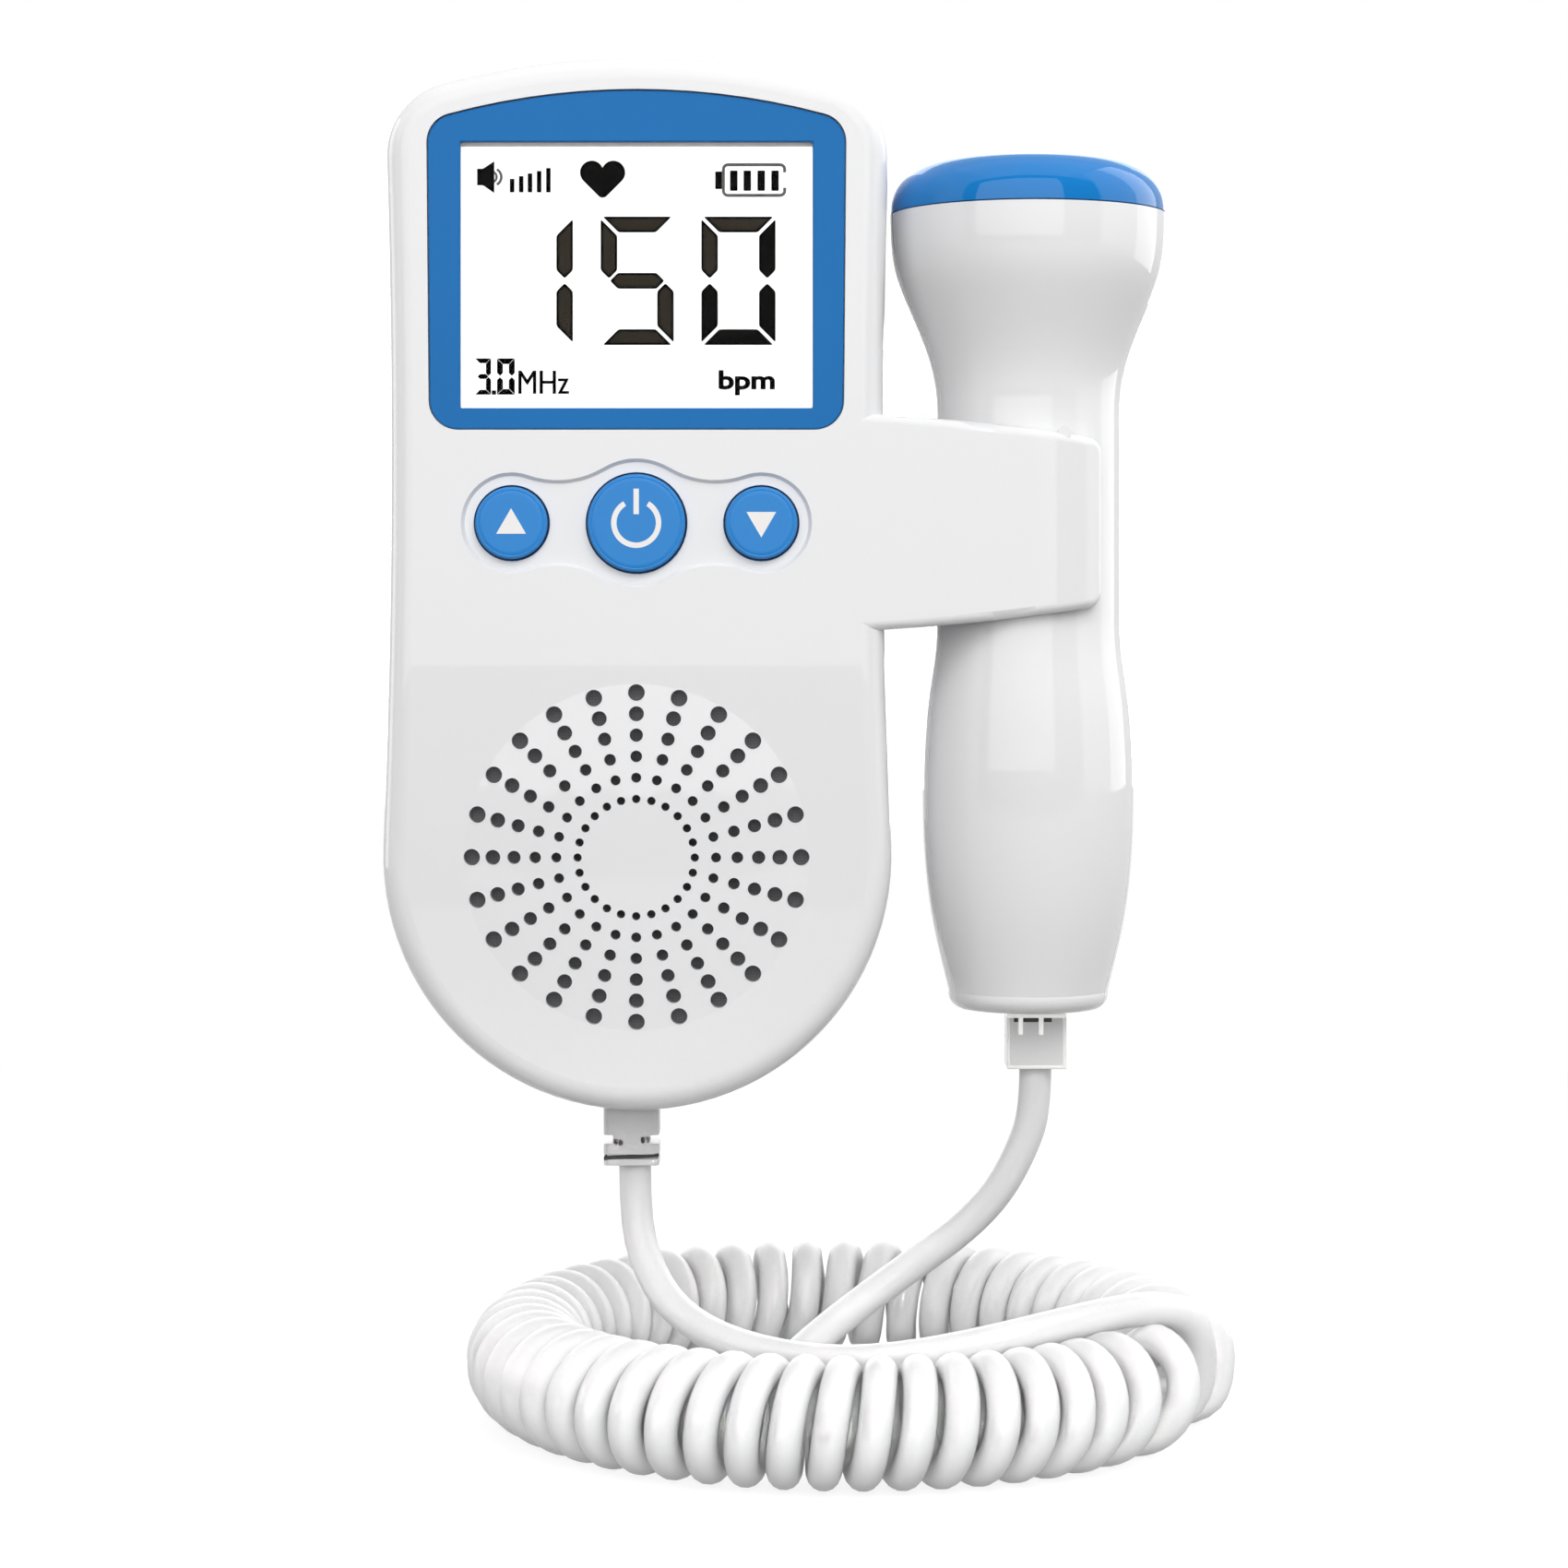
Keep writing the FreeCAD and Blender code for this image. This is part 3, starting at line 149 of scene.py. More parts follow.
class DopplerSizes(bpy.types.PropertyGroup):
    """Sizes of the lead, the speaker holes and the case screws"""
    lead_thickness: length_property("Lead thickness", "Diameter of the lead", 4.4)
    curl_outside: length_property("Curl diameter", "Outer diameter of the curled stretch", 16.8)
    ring_radius: length_property("Ring radius", "Radius of the ring that the curled stretch lies in", 44.4)
    curl_turns: count_property("Curl turns", "Turns of the curled stretch", 47, 20, 70)
    curl_points: count_property("Points per turn", "Control points in each turn", 14, 12, 24)
    hole_rings: count_property("Hole rings", "Rings of speaker holes", 6, 1, 8)
    hole_spokes: count_property("Hole spokes", "Speaker holes in each ring", 24, 6, 36)
    first_ring: length_property("First ring", "Radius of the innermost ring of speaker holes", 7.8)
    ring_pitch: length_property("Ring pitch", "Distance from one ring of speaker holes to the next", 2.83)
    small_hole: length_property("Small hole", "Radius of the innermost speaker holes", 0.56)
    large_hole: length_property("Large hole", "Radius of the outermost speaker holes", 1.12)
    dome_radius: length_property("Dome radius", "Radius of the speaker dome's sphere", 296.9)
    upper_screws: length_property("Upper screws", "Half the distance between the upper case screws", 18.0)
    lower_screws: length_property("Lower screws", "Half the distance between the lower case screws", 22.2)
    upper_screw_height: length_property("Upper screw height", "Height of the upper case screws", 63.0)
    lower_screw_height: length_property("Lower screw height", "Height of the lower case screws", -53.96)


# ---- small helpers ----
def fill_inputs(tree, node, inputs):
    """Gives a node's sockets their values, or links them to the sockets that feed them."""
    for name, value in inputs.items():
        if isinstance(value, bpy.types.NodeSocket):
            tree.links.new(value, node.inputs[name])
        else:
            node.inputs[name].default_value = value


def add_node(tree, kind, inputs=None, **settings):
    """Adds a node. Settings are its properties; inputs are socket values, or sockets that feed them."""
    node = tree.nodes.new(kind)
    for name, value in settings.items():
        setattr(node, name, value)
    fill_inputs(tree, node, inputs or {})
    return node


def box_mm(node):
    """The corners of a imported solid's box, in millimetres."""
    low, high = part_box(node)
    return low / MM, high / MM


def finish_piece(name, mesh, material, body, replaced=()):
    """Links a mesh whose place is in its points, and makes it ride on a body."""
    piece = bpy.data.objects.new(name, mesh)
    bpy.context.scene.collection.objects.link(piece)
    if material is not None:
        mesh.materials.clear()
        mesh.materials.append(material)
    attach(piece, body)
    if replaced:
        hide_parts(*replaced)
    return piece


def smoothed(mesh, sharp_deg):
    """A mesh shaded smooth, except at edges sharper than an angle."""
    for face in mesh.polygons:
        face.use_smooth = True
    mesh.set_sharp_from_angle(angle=math.radians(sharp_deg))
    return mesh


def mesh_from(name, build, sharp_deg=35.0):
    """A mesh made by a function that fills a bmesh, shaded smooth up to an angle."""
    mesh = bpy.data.meshes.new(name)
    work = bmesh.new()
    build(work)
    bmesh.ops.remove_doubles(work, verts=work.verts, dist=1e-7)
    bmesh.ops.recalc_face_normals(work, faces=work.faces)
    work.to_mesh(mesh)
    work.free()
    return smoothed(mesh, sharp_deg)


def join_meshes(name, meshes):
    """Several meshes as one."""
    whole = bmesh.new()
    for mesh in meshes:
        whole.from_mesh(mesh)
    joined = bpy.data.meshes.new(name)
    whole.to_mesh(joined)
    whole.free()
    return joined


def plain_mesh(holder):
    """What an object's modifiers make of its mesh. The object and its modifiers are removed."""
    mesh = bpy.data.meshes.new_from_object(holder.evaluated_get(bpy.context.evaluated_depsgraph_get()))
    holder.modifiers.clear()
    bpy.data.objects.remove(holder)
    return mesh


def mesh_of_curve(curve):
    """A curve or a text as a mesh. The curve is removed."""
    holder = bpy.data.objects.new(curve.name, curve)
    mesh = bpy.data.meshes.new_from_object(holder)
    bpy.data.objects.remove(holder)
    bpy.data.curves.remove(curve)
    return mesh


def skin_between(work, low, high):
    """Faces from one loop of points to the next."""
    for i in range(len(low)):
        j = (i + 1) % len(low)
        work.faces.new((low[i], low[j], high[j], high[i]))


def prism(work, front, back):
    """A closed block between two loops of points."""
    near = [work.verts.new(point) for point in front]
    far = [work.verts.new(point) for point in back]
    work.faces.new(near)
    work.faces.new(far[::-1])
    skin_between(work, near, far)


def turned(work, profile, sides, to_place):
    """Turns (radius, height) pairs about the Z axis into a skin, then places it by a matrix."""
    rings = []
    for radius, height in profile:
        if radius < 1e-7:
            rings.append([work.verts.new(to_place @ Vector((0, 0, height)))])
            continue
        ring = []
        for i in range(sides):
            angle = TAU * i / sides
            point = Vector((radius * math.cos(angle), radius * math.sin(angle), height))
            ring.append(work.verts.new(to_place @ point))
        rings.append(ring)
    for low, high in zip(rings, rings[1:]):
        if len(low) == len(high):
            skin_between(work, low, high)
            continue
        for i in range(sides):
            j = (i + 1) % sides
            if len(low) == 1:
                work.faces.new((low[0], high[j], high[i]))
            else:
                work.faces.new((low[i], low[j], high[0]))


def arc_points(centre, radius, start_deg, end_deg, count):
    """Points along an arc in a plane, ends included."""
    points = []
    for i in range(count + 1):
        angle = math.radians(start_deg + (end_deg - start_deg) * i / count)
        points.append((centre[0] + radius * math.cos(angle), centre[1] + radius * math.sin(angle)))
    return points


def nurbs_curve(name, route):
    """An open NURBS curve with the route's points as its control points."""
    curve = bpy.data.curves.new(name, "CURVE")
    curve.dimensions = "3D"
    spline = curve.splines.new("NURBS")
    spline.points.add(len(route) - 1)
    for point, place in zip(spline.points, route):
        point.co = (*place, 1.0)
    spline.order_u = 3
    spline.use_endpoint_u = True
    return curve


def line_along(route, fineness):
    """The points that a route's NURBS curve gives, so many for each control point."""
    curve = nurbs_curve("route", route)
    curve.resolution_u = fineness
    mesh = mesh_of_curve(curve)
    line = [vert.co.copy() for vert in mesh.vertices]
    bpy.data.meshes.remove(mesh)
    return line


def tube_mesh(name, line, radius, sides):
    """A round tube that follows a line, closed at both ends."""
    def build(work):
        tangent = (line[1] - line[0]).normalized()
        side = tangent.orthogonal().normalized()
        rings = []
        for i, place in enumerate(line):
            ahead = line[min(i + 1, len(line) - 1)]
            behind = line[max(i - 1, 0)]
            tangent = (ahead - behind).normalized()
            side = (side - tangent * side.dot(tangent)).normalized()
            across = tangent.cross(side)
            ring = []
            for k in range(sides):
                angle = TAU * k / sides
                outward = math.cos(angle) * side + math.sin(angle) * across
                ring.append(work.verts.new(place + radius * outward))
            rings.append(ring)
        for low, high in zip(rings, rings[1:]):
            skin_between(work, low, high)
        work.faces.new(rings[0][::-1])
        work.faces.new(rings[-1])
    return mesh_from(name, build)


def softened_copy(node, width):
    """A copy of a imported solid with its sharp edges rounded."""
    mesh = bpy.data.meshes.new(node + "_soft")
    work = bmesh.new()
    work.from_mesh(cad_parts[node].data)
    bmesh.ops.remove_doubles(work, verts=work.verts, dist=3e-6)
    bmesh.ops.dissolve_limit(work, angle_limit=math.radians(0.5), verts=work.verts, edges=work.edges)
    limit = math.radians(35)
    sharp = [edge for edge in work.edges if len(edge.link_faces) == 2 and edge.calc_face_angle() > limit]
    bmesh.ops.bevel(work, geom=sharp, offset=width, offset_type="OFFSET", segments=3, profile=0.5,
                    affect="EDGES", clamp_overlap=True)
    bmesh.ops.triangulate(work, faces=[face for face in work.faces if len(face.verts) > 4])
    work.to_mesh(mesh)
    work.free()
    return evenly_shaded(node + "_soft", smoothed(mesh, 30))


def evenly_shaded(name, mesh):
    """A mesh whose large faces shade flat, so that a rounded edge keeps its shine to itself."""
    holder = bpy.data.objects.new(name, mesh)
    bpy.context.scene.collection.objects.link(holder)
    even = holder.modifiers.new("even", "WEIGHTED_NORMAL")
    even.keep_sharp = True
    return plain_mesh(holder)


def carved(name, mesh, cutter):
    """A mesh with another one cut out of it."""
    holder = bpy.data.objects.new(name, mesh)
    tool = bpy.data.objects.new(name + "_cutter", cutter)
    for piece in (holder, tool):
        bpy.context.scene.collection.objects.link(piece)
    cut = holder.modifiers.new("cut", "BOOLEAN")
    cut.object, cut.operation, cut.solver = tool, "DIFFERENCE", "EXACT"
    result = plain_mesh(holder)
    bpy.data.objects.remove(tool)
    return evenly_shaded(name, smoothed(result, 35))


def bar(work, x0, x1, y0, y1, z0, z1, bevel=0.0):
    """A block with rounded edges, in millimetres."""
    middle = Matrix.Translation(((x0 + x1) / 2, (y0 + y1) / 2, (z0 + z1) / 2))
    stretch = Matrix.Diagonal((x1 - x0, y1 - y0, z1 - z0, 1))
    block = bmesh.ops.create_cube(work, size=1.0, matrix=Matrix.Scale(MM, 4) @ middle @ stretch)
    if bevel:
        edges = {edge for vert in block["verts"] for edge in vert.link_edges}
        bmesh.ops.bevel(work, geom=list(edges), offset=bevel * MM, segments=3, profile=0.5, affect="EDGES")


# ---- materials ----
def start_material(name):
    """A material with one Principled shader, and the object's own coordinates for its textures."""
    material = bpy.data.materials.new(name)
    material.use_nodes = True
    tree = material.node_tree
    tree.nodes.clear()
    shader = add_node(tree, "ShaderNodeBsdfPrincipled")
    add_node(tree, "ShaderNodeOutputMaterial", {"Surface": shader.outputs["BSDF"]})
    place = add_node(tree, "ShaderNodeTexCoord").outputs["Object"]
    return material, tree, shader, place


def patch_scale(millimetres):
    """A noise texture's scale for patches of that size."""
    return 1.0 / (millimetres * MM)


def shade(colour, factor):
    """A colour made darker or lighter by a factor."""
    return (colour[0] * factor, colour[1] * factor, colour[2] * factor, 1.0)


def moulded_plastic(name, colour, roughness, ior, drift, grain_mm, depth_mm, specular=0.5):
    """Plastic or what is moulded like it: slow colour drift, uneven polish and a fine grain."""
    material, tree, shader, place = start_material(name)
    flow = add_node(tree, "ShaderNodeTexNoise", {"Vector": place, "Scale": patch_scale(22), "Detail": 2.0})
    tint = add_node(tree, "ShaderNodeMix", {
        "Factor": flow.outputs["Fac"], MIX_A: colour, MIX_B: shade(colour, drift)}, data_type="RGBA")
    polish = add_node(tree, "ShaderNodeTexNoise", {"Vector": place, "Scale": patch_scale(9), "Detail": 3.0})
    gloss = add_node(tree, "ShaderNodeMapRange", {
        "Value": polish.outputs["Fac"], "To Min": roughness * 0.85, "To Max": roughness * 1.15})
    grain = add_node(tree, "ShaderNodeTexNoise", {
        "Vector": place, "Scale": patch_scale(grain_mm), "Detail": 2.0})
    relief = add_node(tree, "ShaderNodeBump", {
        "Height": grain.outputs["Fac"], "Strength": 1.0, "Distance": depth_mm * MM})
    fill_inputs(tree, shader, {
        "Base Color": tint.outputs["Result"], "Roughness": gloss.outputs["Result"],
        "Normal": relief.outputs["Normal"], "IOR": ior, "Specular IOR Level": specular})
    return material


# ---- shapes that repeat ----
def placing_tree(name, numbers):
    """A node group that takes one shape, named numbers and a material."""
    tree = bpy.data.node_groups.new(name, "GeometryNodeTree")
    tree.interface.new_socket("Shape", in_out="INPUT", socket_type="NodeSocketGeometry")
    for label in numbers:
        kind = "NodeSocketInt" if isinstance(numbers[label], int) else "NodeSocketFloat"
        tree.interface.new_socket(label, in_out="INPUT", socket_type=kind)
    tree.interface.new_socket("Material", in_out="INPUT", socket_type="NodeSocketMaterial")
    tree.interface.new_socket("Copies", in_out="OUTPUT", socket_type="NodeSocketGeometry")
    return tree, add_node(tree, "NodeGroupInput").outputs


def place_copies(tree, given, count, position, rotation, scale):
    """Ends a placing tree: its shape on each point, made real and given the material."""
    points = add_node(tree, "GeometryNodePoints", {"Count": count, "Position": position})
    copies = add_node(tree, "GeometryNodeInstanceOnPoints", {
        "Points": points.outputs[0], "Instance": given["Shape"], "Rotation": rotation, "Scale": scale})
    real = add_node(tree, "GeometryNodeRealizeInstances", {"Geometry": copies.outputs[0]})
    dressed = add_node(tree, "GeometryNodeSetMaterial", {
        "Geometry": real.outputs[0], "Material": given["Material"]})
    add_node(tree, "NodeGroupOutput", {"Copies": dressed.outputs[0]})


def run_tree(name, mesh, tree, numbers, material):
    """Runs a placing tree on one shape and gives its copies as a plain mesh."""
    holder = bpy.data.objects.new(name, mesh)
    bpy.context.scene.collection.objects.link(holder)
    modifier = holder.modifiers.new("placing", "NODES")
    modifier.node_group = tree
    values = dict(numbers, Material=material)
    for item in tree.interface.items_tree:
        if item.in_out == "INPUT" and item.name in values:
            modifier[item.identifier] = values[item.name]
    return plain_mesh(holder)


# ---- stage: camera, light, floor ----
# Each soft box: name, place, turn in degrees, size, radiance of its face, spread in degrees, mirrored.
SOFT_BOXES = (
    ("front_box", (-0.165, -0.735, 0.3925), (-90, 0, 180), (1.118, 0.815), 2.0, 180, True),
    ("right_strip", (0.64, 0.25, 0.45), (0, 90, 0), (1.0, 0.40), 2.4, 180, True),
    ("right_box", (0.64, -0.16, 0.45), (0, 90, 0), (1.0, 0.42), 0.7, 180, True),
    ("left_box", (-0.75, 0.22, 0.10), (0, -90, 0), (0.9, 0.35), 3.0, 180, True),
    ("back_box", (0.0, 0.95, 0.35), (-70, 0, 0), (1.3, 0.9), 1.9, 180, True),
    ("top_box", (0.03, -0.15, 0.75), (0, 0, 0), (0.9, 0.7), 0.35, 180, True),
    ("curl_spot", (0.01, -0.80, 0.05), (77.2, 0, 0), (0.34, 0.04), 1.0, 9, True),
    ("high_fill", (0.38, -0.71, 0.70), (43.5, 0, 29), (0.6, 0.6), 4.2, 180, False),
)
# How much light the white surround gives, and how much glow the floor needs to be seen as white as it.
SURROUND_LIGHT = 0.18
FLOOR_GLOW = 0.84


def seen_rays(tree):
    """A socket that is 1 for rays that see, mirror or look through, and 0 for those that carry light."""
    ray = add_node(tree, "ShaderNodeLightPath")
    mirrored = add_node(tree, "ShaderNodeMath", {
        0: ray.outputs["Is Glossy Ray"], 1: ray.outputs["Is Transmission Ray"]}, operation="MAXIMUM")
    seen = add_node(tree, "ShaderNodeMath", {
        0: ray.outputs["Is Camera Ray"], 1: mirrored.outputs[0]}, operation="MAXIMUM")
    return seen.outputs[0]


class DOPPLER_OT_stage(bpy.types.Operator):
    """Sets the camera, the soft boxes, the white surround and the floor under the curl"""
    bl_idname = "doppler.stage"
    bl_label = "Stage"

    def execute(self, context):
        scene = context.scene
        scene.view_settings.view_transform = "Standard"
        camera = bpy.data.objects.new("camera", bpy.data.cameras.new("camera"))
        scene.collection.objects.link(camera)
        # Half a metre in front and level, its picture shifted down to take in the curl.
        camera.location = (0.01967, -0.513, -0.0084)
        camera.rotation_euler = (math.radians(90), 0, 0)
        camera.data.sensor_width = 36.0
        camera.data.lens = 82.36
        camera.data.shift_y = -0.0882
        camera.data.clip_start = 0.01
        scene.camera = camera
        self.surround(scene)
        for box in SOFT_BOXES:
            self.lamp(*box)
        self.floor(scene)
        self.flag(scene)
        return {"FINISHED"}

    def surround(self, scene):
        """A soft grey surround for the light, white where it is seen, mirrored or looked through."""
        world = bpy.data.worlds.new("studio")
        world.use_nodes = True
        tree = world.node_tree
        tree.nodes.clear()
        level = add_node(tree, "ShaderNodeMapRange", {
            "Value": seen_rays(tree), "To Min": SURROUND_LIGHT, "To Max": 1.0})
        sky = add_node(tree, "ShaderNodeBackground", {
            "Color": (1, 1, 1, 1), "Strength": level.outputs["Result"]})
        add_node(tree, "ShaderNodeOutputWorld", {"Surface": sky.outputs["Background"]})
        scene.world = world

    def lamp(self, name, place, turn, size, radiance, spread, mirrored):
        """A soft box, its power worked out from its area, so that its face has the radiance given."""
        light = bpy.data.lights.new(name, "AREA")
        light.shape = "RECTANGLE"
        light.size, light.size_y = size
        light.energy = radiance * math.pi * size[0] * size[1]
        light.spread = math.radians(spread)
        holder = bpy.data.objects.new(name, light)
        holder.location = place
        holder.rotation_euler = [math.radians(angle) for angle in turn]
        holder.visible_glossy = mirrored
        bpy.context.scene.collection.objects.link(holder)

    def flag(self, scene):
        """A dark grey card behind the camera that keeps the surround's white out of facing surfaces."""
        mesh = bpy.data.meshes.new("flag")
        half, behind, top = 1.6, -1.0, 1.4
        outline = ((-half, FLOOR_Z), (half, FLOOR_Z), (half, top), (-half, top))
        corners = [(x, behind, z) for x, z in outline]
        mesh.from_pydata(corners, [], [(0, 1, 2, 3)])
        material, tree, shader, place = start_material("felt_dark_grey")
        felt = add_node(tree, "ShaderNodeTexNoise", {"Vector": place, "Scale": patch_scale(40)})
        tone = add_node(tree, "ShaderNodeMix", {
            "Factor": felt.outputs["Fac"], MIX_A: linear("3A3A3A"), MIX_B: linear("343434")},
            data_type="RGBA")
        fill_inputs(tree, shader, {"Base Color": tone.outputs["Result"], "Roughness": 1.0})
        mesh.materials.append(material)
        card = bpy.data.objects.new("flag", mesh)
        scene.collection.objects.link(card)
        card.visible_camera = card.visible_diffuse = card.visible_shadow = False
        return card

    def floor(self, scene):
        """A pale floor that keeps the shadow near the object and fades into the white surround."""
        def build(work):
            rings = []
            for reach in (0.2, 0.5, 1.5, 6.0):
                circle = arc_points(RING_CENTRE, reach, 0, 360, 64)[:-1]
                rings.append([work.verts.new((x, y, FLOOR_Z)) for x, y in circle])
            work.faces.new(rings[0])
            for inner, outer in zip(rings, rings[1:]):
                skin_between(work, outer, inner)
        mesh = mesh_from("floor", build)
        fade_start, fade_end = 0.10, 0.45
        material, tree, shader, place = start_material("matte_paper_sweep")
        centred = add_node(tree, "ShaderNodeMapping", {
            "Vector": place, "Location": (-RING_CENTRE.x, -RING_CENTRE.y, -FLOOR_Z)})
        reach = add_node(tree, "ShaderNodeVectorMath", {0: centred.outputs["Vector"]}, operation="LENGTH")
        far = add_node(tree, "ShaderNodeMapRange", {
            "Value": reach.outputs["Value"], "From Min": fade_start, "From Max": fade_end},
            interpolation_type="SMOOTHSTEP")
        seen = seen_rays(tree)
        fibre = add_node(tree, "ShaderNodeTexNoise", {
            "Vector": place, "Scale": patch_scale(1.5), "Detail": 3.0})
        tone = add_node(tree, "ShaderNodeMix", {
            "Factor": fibre.outputs["Fac"], MIX_A: linear("7C7C7C"), MIX_B: linear("767676")},
            data_type="RGBA")
        glow = add_node(tree, "ShaderNodeMath", {0: seen, 1: FLOOR_GLOW}, operation="MULTIPLY")
        fill_inputs(tree, shader, {
            "Base Color": tone.outputs["Result"], "Roughness": 0.9, "Specular IOR Level": 0.2,
            "Emission Color": (1, 1, 1, 1), "Emission Strength": glow.outputs[0]})
        white = add_node(tree, "ShaderNodeEmission", {"Color": (1, 1, 1, 1), "Strength": 1.0})
        part = add_node(tree, "ShaderNodeMath", {0: far.outputs["Result"], 1: seen}, operation="MULTIPLY")
        blend = add_node(tree, "ShaderNodeMixShader", {
            "Fac": part.outputs[0], 1: shader.outputs["BSDF"], 2: white.outputs["Emission"]})
        output = next(node for node in tree.nodes if node.type == "OUTPUT_MATERIAL")
        tree.links.new(blend.outputs["Shader"], output.inputs["Surface"])
        mesh.materials.append(material)
        sweep = bpy.data.objects.new("floor", mesh)
        scene.collection.objects.link(sweep)
        return sweep


# ---- the lead ----
class DOPPLER_OT_lead(bpy.types.Operator):
    """Lays the lead from the unit's plug through the curl to the probe's plug"""
    bl_idname = "doppler.lead"
    bl_label = "Curly lead"

    def execute(self, context):
        sizes = context.scene.doppler_sizes
        colours = context.scene.doppler_colours
        # Soft PVC, extruded: satin, with a faint drift of white and a skin too fine to see as relief.
        jacket = moulded_plastic("pvc_extruded_white", tuple(colours.lead), roughness=0.38, ior=1.53,
                                 drift=0.96, grain_mm=1.2, depth_mm=0.004)
        route = unit_lead_route + self.curl_points(sizes)
        curve = nurbs_curve("curly_lead", route)
        curve.resolution_u = 3
        curve.bevel_depth = sizes.lead_thickness / 2
        curve.bevel_resolution = 6
        curve.use_fill_caps = True
        curve.materials.append(jacket)
        lead = bpy.data.objects.new("curly_lead", curve)
        context.scene.collection.objects.link(lead)
        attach(lead, "monitor")
        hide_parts("unit_lead", "lead_curl")
        line = line_along(route, 3)

        line = line_along(probe_lead_route[::-1], 8)
        tube = tube_mesh("probe_end_lead", line, sizes.lead_thickness / 2, 20)
        tail = finish_piece("probe_end_lead", tube, jacket, "monitor", ("probe_lead",))
        tail.parent = None
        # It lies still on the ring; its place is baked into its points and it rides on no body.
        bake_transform(tail)
        return {"FINISHED"}

    def curl_points(self, sizes):
        """Points of the curl: a helix round a ring on the floor, its turns wider apart at the rear."""
        # Degrees: from the front right, past the front and the left, nearly once round.
        start, sweep = -28.5, -335.0
        # The largest shift of a turn along the ring, as a share of its length.
        crowding = 0.0143
        # The curve runs inside its control points, so they stand a little farther out than the turns.
        stretch = 1 / (0.75 + 0.25 * math.cos(TAU / sizes.curl_points))
        radius = (sizes.curl_outside - sizes.lead_thickness) / 2 * stretch
        lift = Vector((0, 0, FLOOR_Z + sizes.curl_outside / 2))
        ring = arc_points(RING_CENTRE, sizes.ring_radius, start, start + sweep, 25)
        path = line_along([(x, y, 0.0) for x, y in ring], 24)
        count = int((sizes.curl_turns + 0.25) * sizes.curl_points)
        points = []
        for i in range(count + 1):
            share = i / count
            depth = math.cos(math.radians(start + sweep * share)) - math.cos(math.radians(start))
            crowd = crowding * depth
            along = min(max(share + crowd, 0.0), 1.0) * (len(path) - 1)
            k = min(int(along), len(path) - 2)
            spot = path[k].lerp(path[k + 1], along - k)
            outward = (spot - RING_CENTRE).normalized()
            phase = TAU * i / sizes.curl_points
            turn = outward * math.sin(phase) + Vector((0, 0, math.cos(phase)))
            points.append(tuple(spot + lift + radius * turn))
        return points + curl_end_route


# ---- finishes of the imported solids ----
def dress(material, *nodes):
    """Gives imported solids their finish."""
    for node in nodes:
        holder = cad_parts[node]
        if not holder.material_slots:
            holder.data.materials.append(None)
        for place in holder.material_slots:
            place.material = material


def plated_metal(name, colour, roughness, grain_mm):
    """Plated metal: bright, with a faint drawn grain that breaks its reflections."""
    material, tree, shader, place = start_material(name)
    grain = add_node(tree, "ShaderNodeTexNoise", {
        "Vector": place, "Scale": patch_scale(grain_mm), "Detail": 3.0})
    tint = add_node(tree, "ShaderNodeMix", {
        "Factor": grain.outputs["Fac"], MIX_A: colour, MIX_B: shade(colour, 0.86)}, data_type="RGBA")
    gloss = add_node(tree, "ShaderNodeMapRange", {
        "Value": grain.outputs["Fac"], "To Min": roughness * 0.7, "To Max": roughness * 1.3})
    fill_inputs(tree, shader, {
        "Base Color": tint.outputs["Result"], "Roughness": gloss.outputs["Result"], "Metallic": 1.0})
    return material


def woven_cloth(name, colour, thread_mm):
    """Plain-woven polyester: two crossed sets of threads, drawn coarse enough to show behind the holes."""
    material, tree, shader, place = start_material(name)
    # A wave texture's bands lie pi / (10 * scale) apart: here two threads.
    scale = patch_scale(thread_mm) / 20 * math.pi
    bands = [add_node(tree, "ShaderNodeTexWave", {
        "Vector": place, "Scale": scale, "Distortion": 0.4, "Detail": 1.0},
        bands_direction=direction) for direction in ("X", "Z")]
    weave = add_node(tree, "ShaderNodeMath", {
        0: bands[0].outputs["Fac"], 1: bands[1].outputs["Fac"]}, operation="MULTIPLY")
    tint = add_node(tree, "ShaderNodeMix", {
        "Factor": weave.outputs[0], MIX_A: shade(colour, 0.8), MIX_B: colour}, data_type="RGBA")
    relief = add_node(tree, "ShaderNodeBump", {
        "Height": weave.outputs[0], "Strength": 0.3, "Distance": 0.03 * MM})
    fill_inputs(tree, shader, {
        "Base Color": tint.outputs["Result"], "Normal": relief.outputs["Normal"], "Roughness": 0.85})
    return material


def board_laminate(name):
    """Glass-epoxy board under green solder mask: copper tracks show as a paler relief, pads as dots."""
    material, tree, shader, place = start_material(name)
    turned_place = add_node(tree, "ShaderNodeMapping", {
        "Vector": place, "Rotation": (math.radians(90), 0, 0)})
    tracks = add_node(tree, "ShaderNodeTexBrick", {
        "Vector": turned_place.outputs["Vector"], "Scale": patch_scale(5), "Mortar Size": 0.05,
        "Color1": linear("14603A"), "Color2": linear("115634"), "Mortar": linear("2F8A58")})
    dots = add_node(tree, "ShaderNodeTexVoronoi", {"Vector": place, "Scale": patch_scale(4)})
    pad = add_node(tree, "ShaderNodeMath", {0: dots.outputs["Distance"], 1: 0.12}, operation="LESS_THAN")
    tint = add_node(tree, "ShaderNodeMix", {
        "Factor": pad.outputs[0], MIX_A: tracks.outputs["Color"], MIX_B: linear("C9C4B4")},
        data_type="RGBA")
    relief = add_node(tree, "ShaderNodeBump", {"Height": tracks.outputs["Fac"], "Distance": 0.03 * MM})
    fill_inputs(tree, shader, {
        "Base Color": tint.outputs["Result"], "Normal": relief.outputs["Normal"], "Roughness": 0.35})
    return material


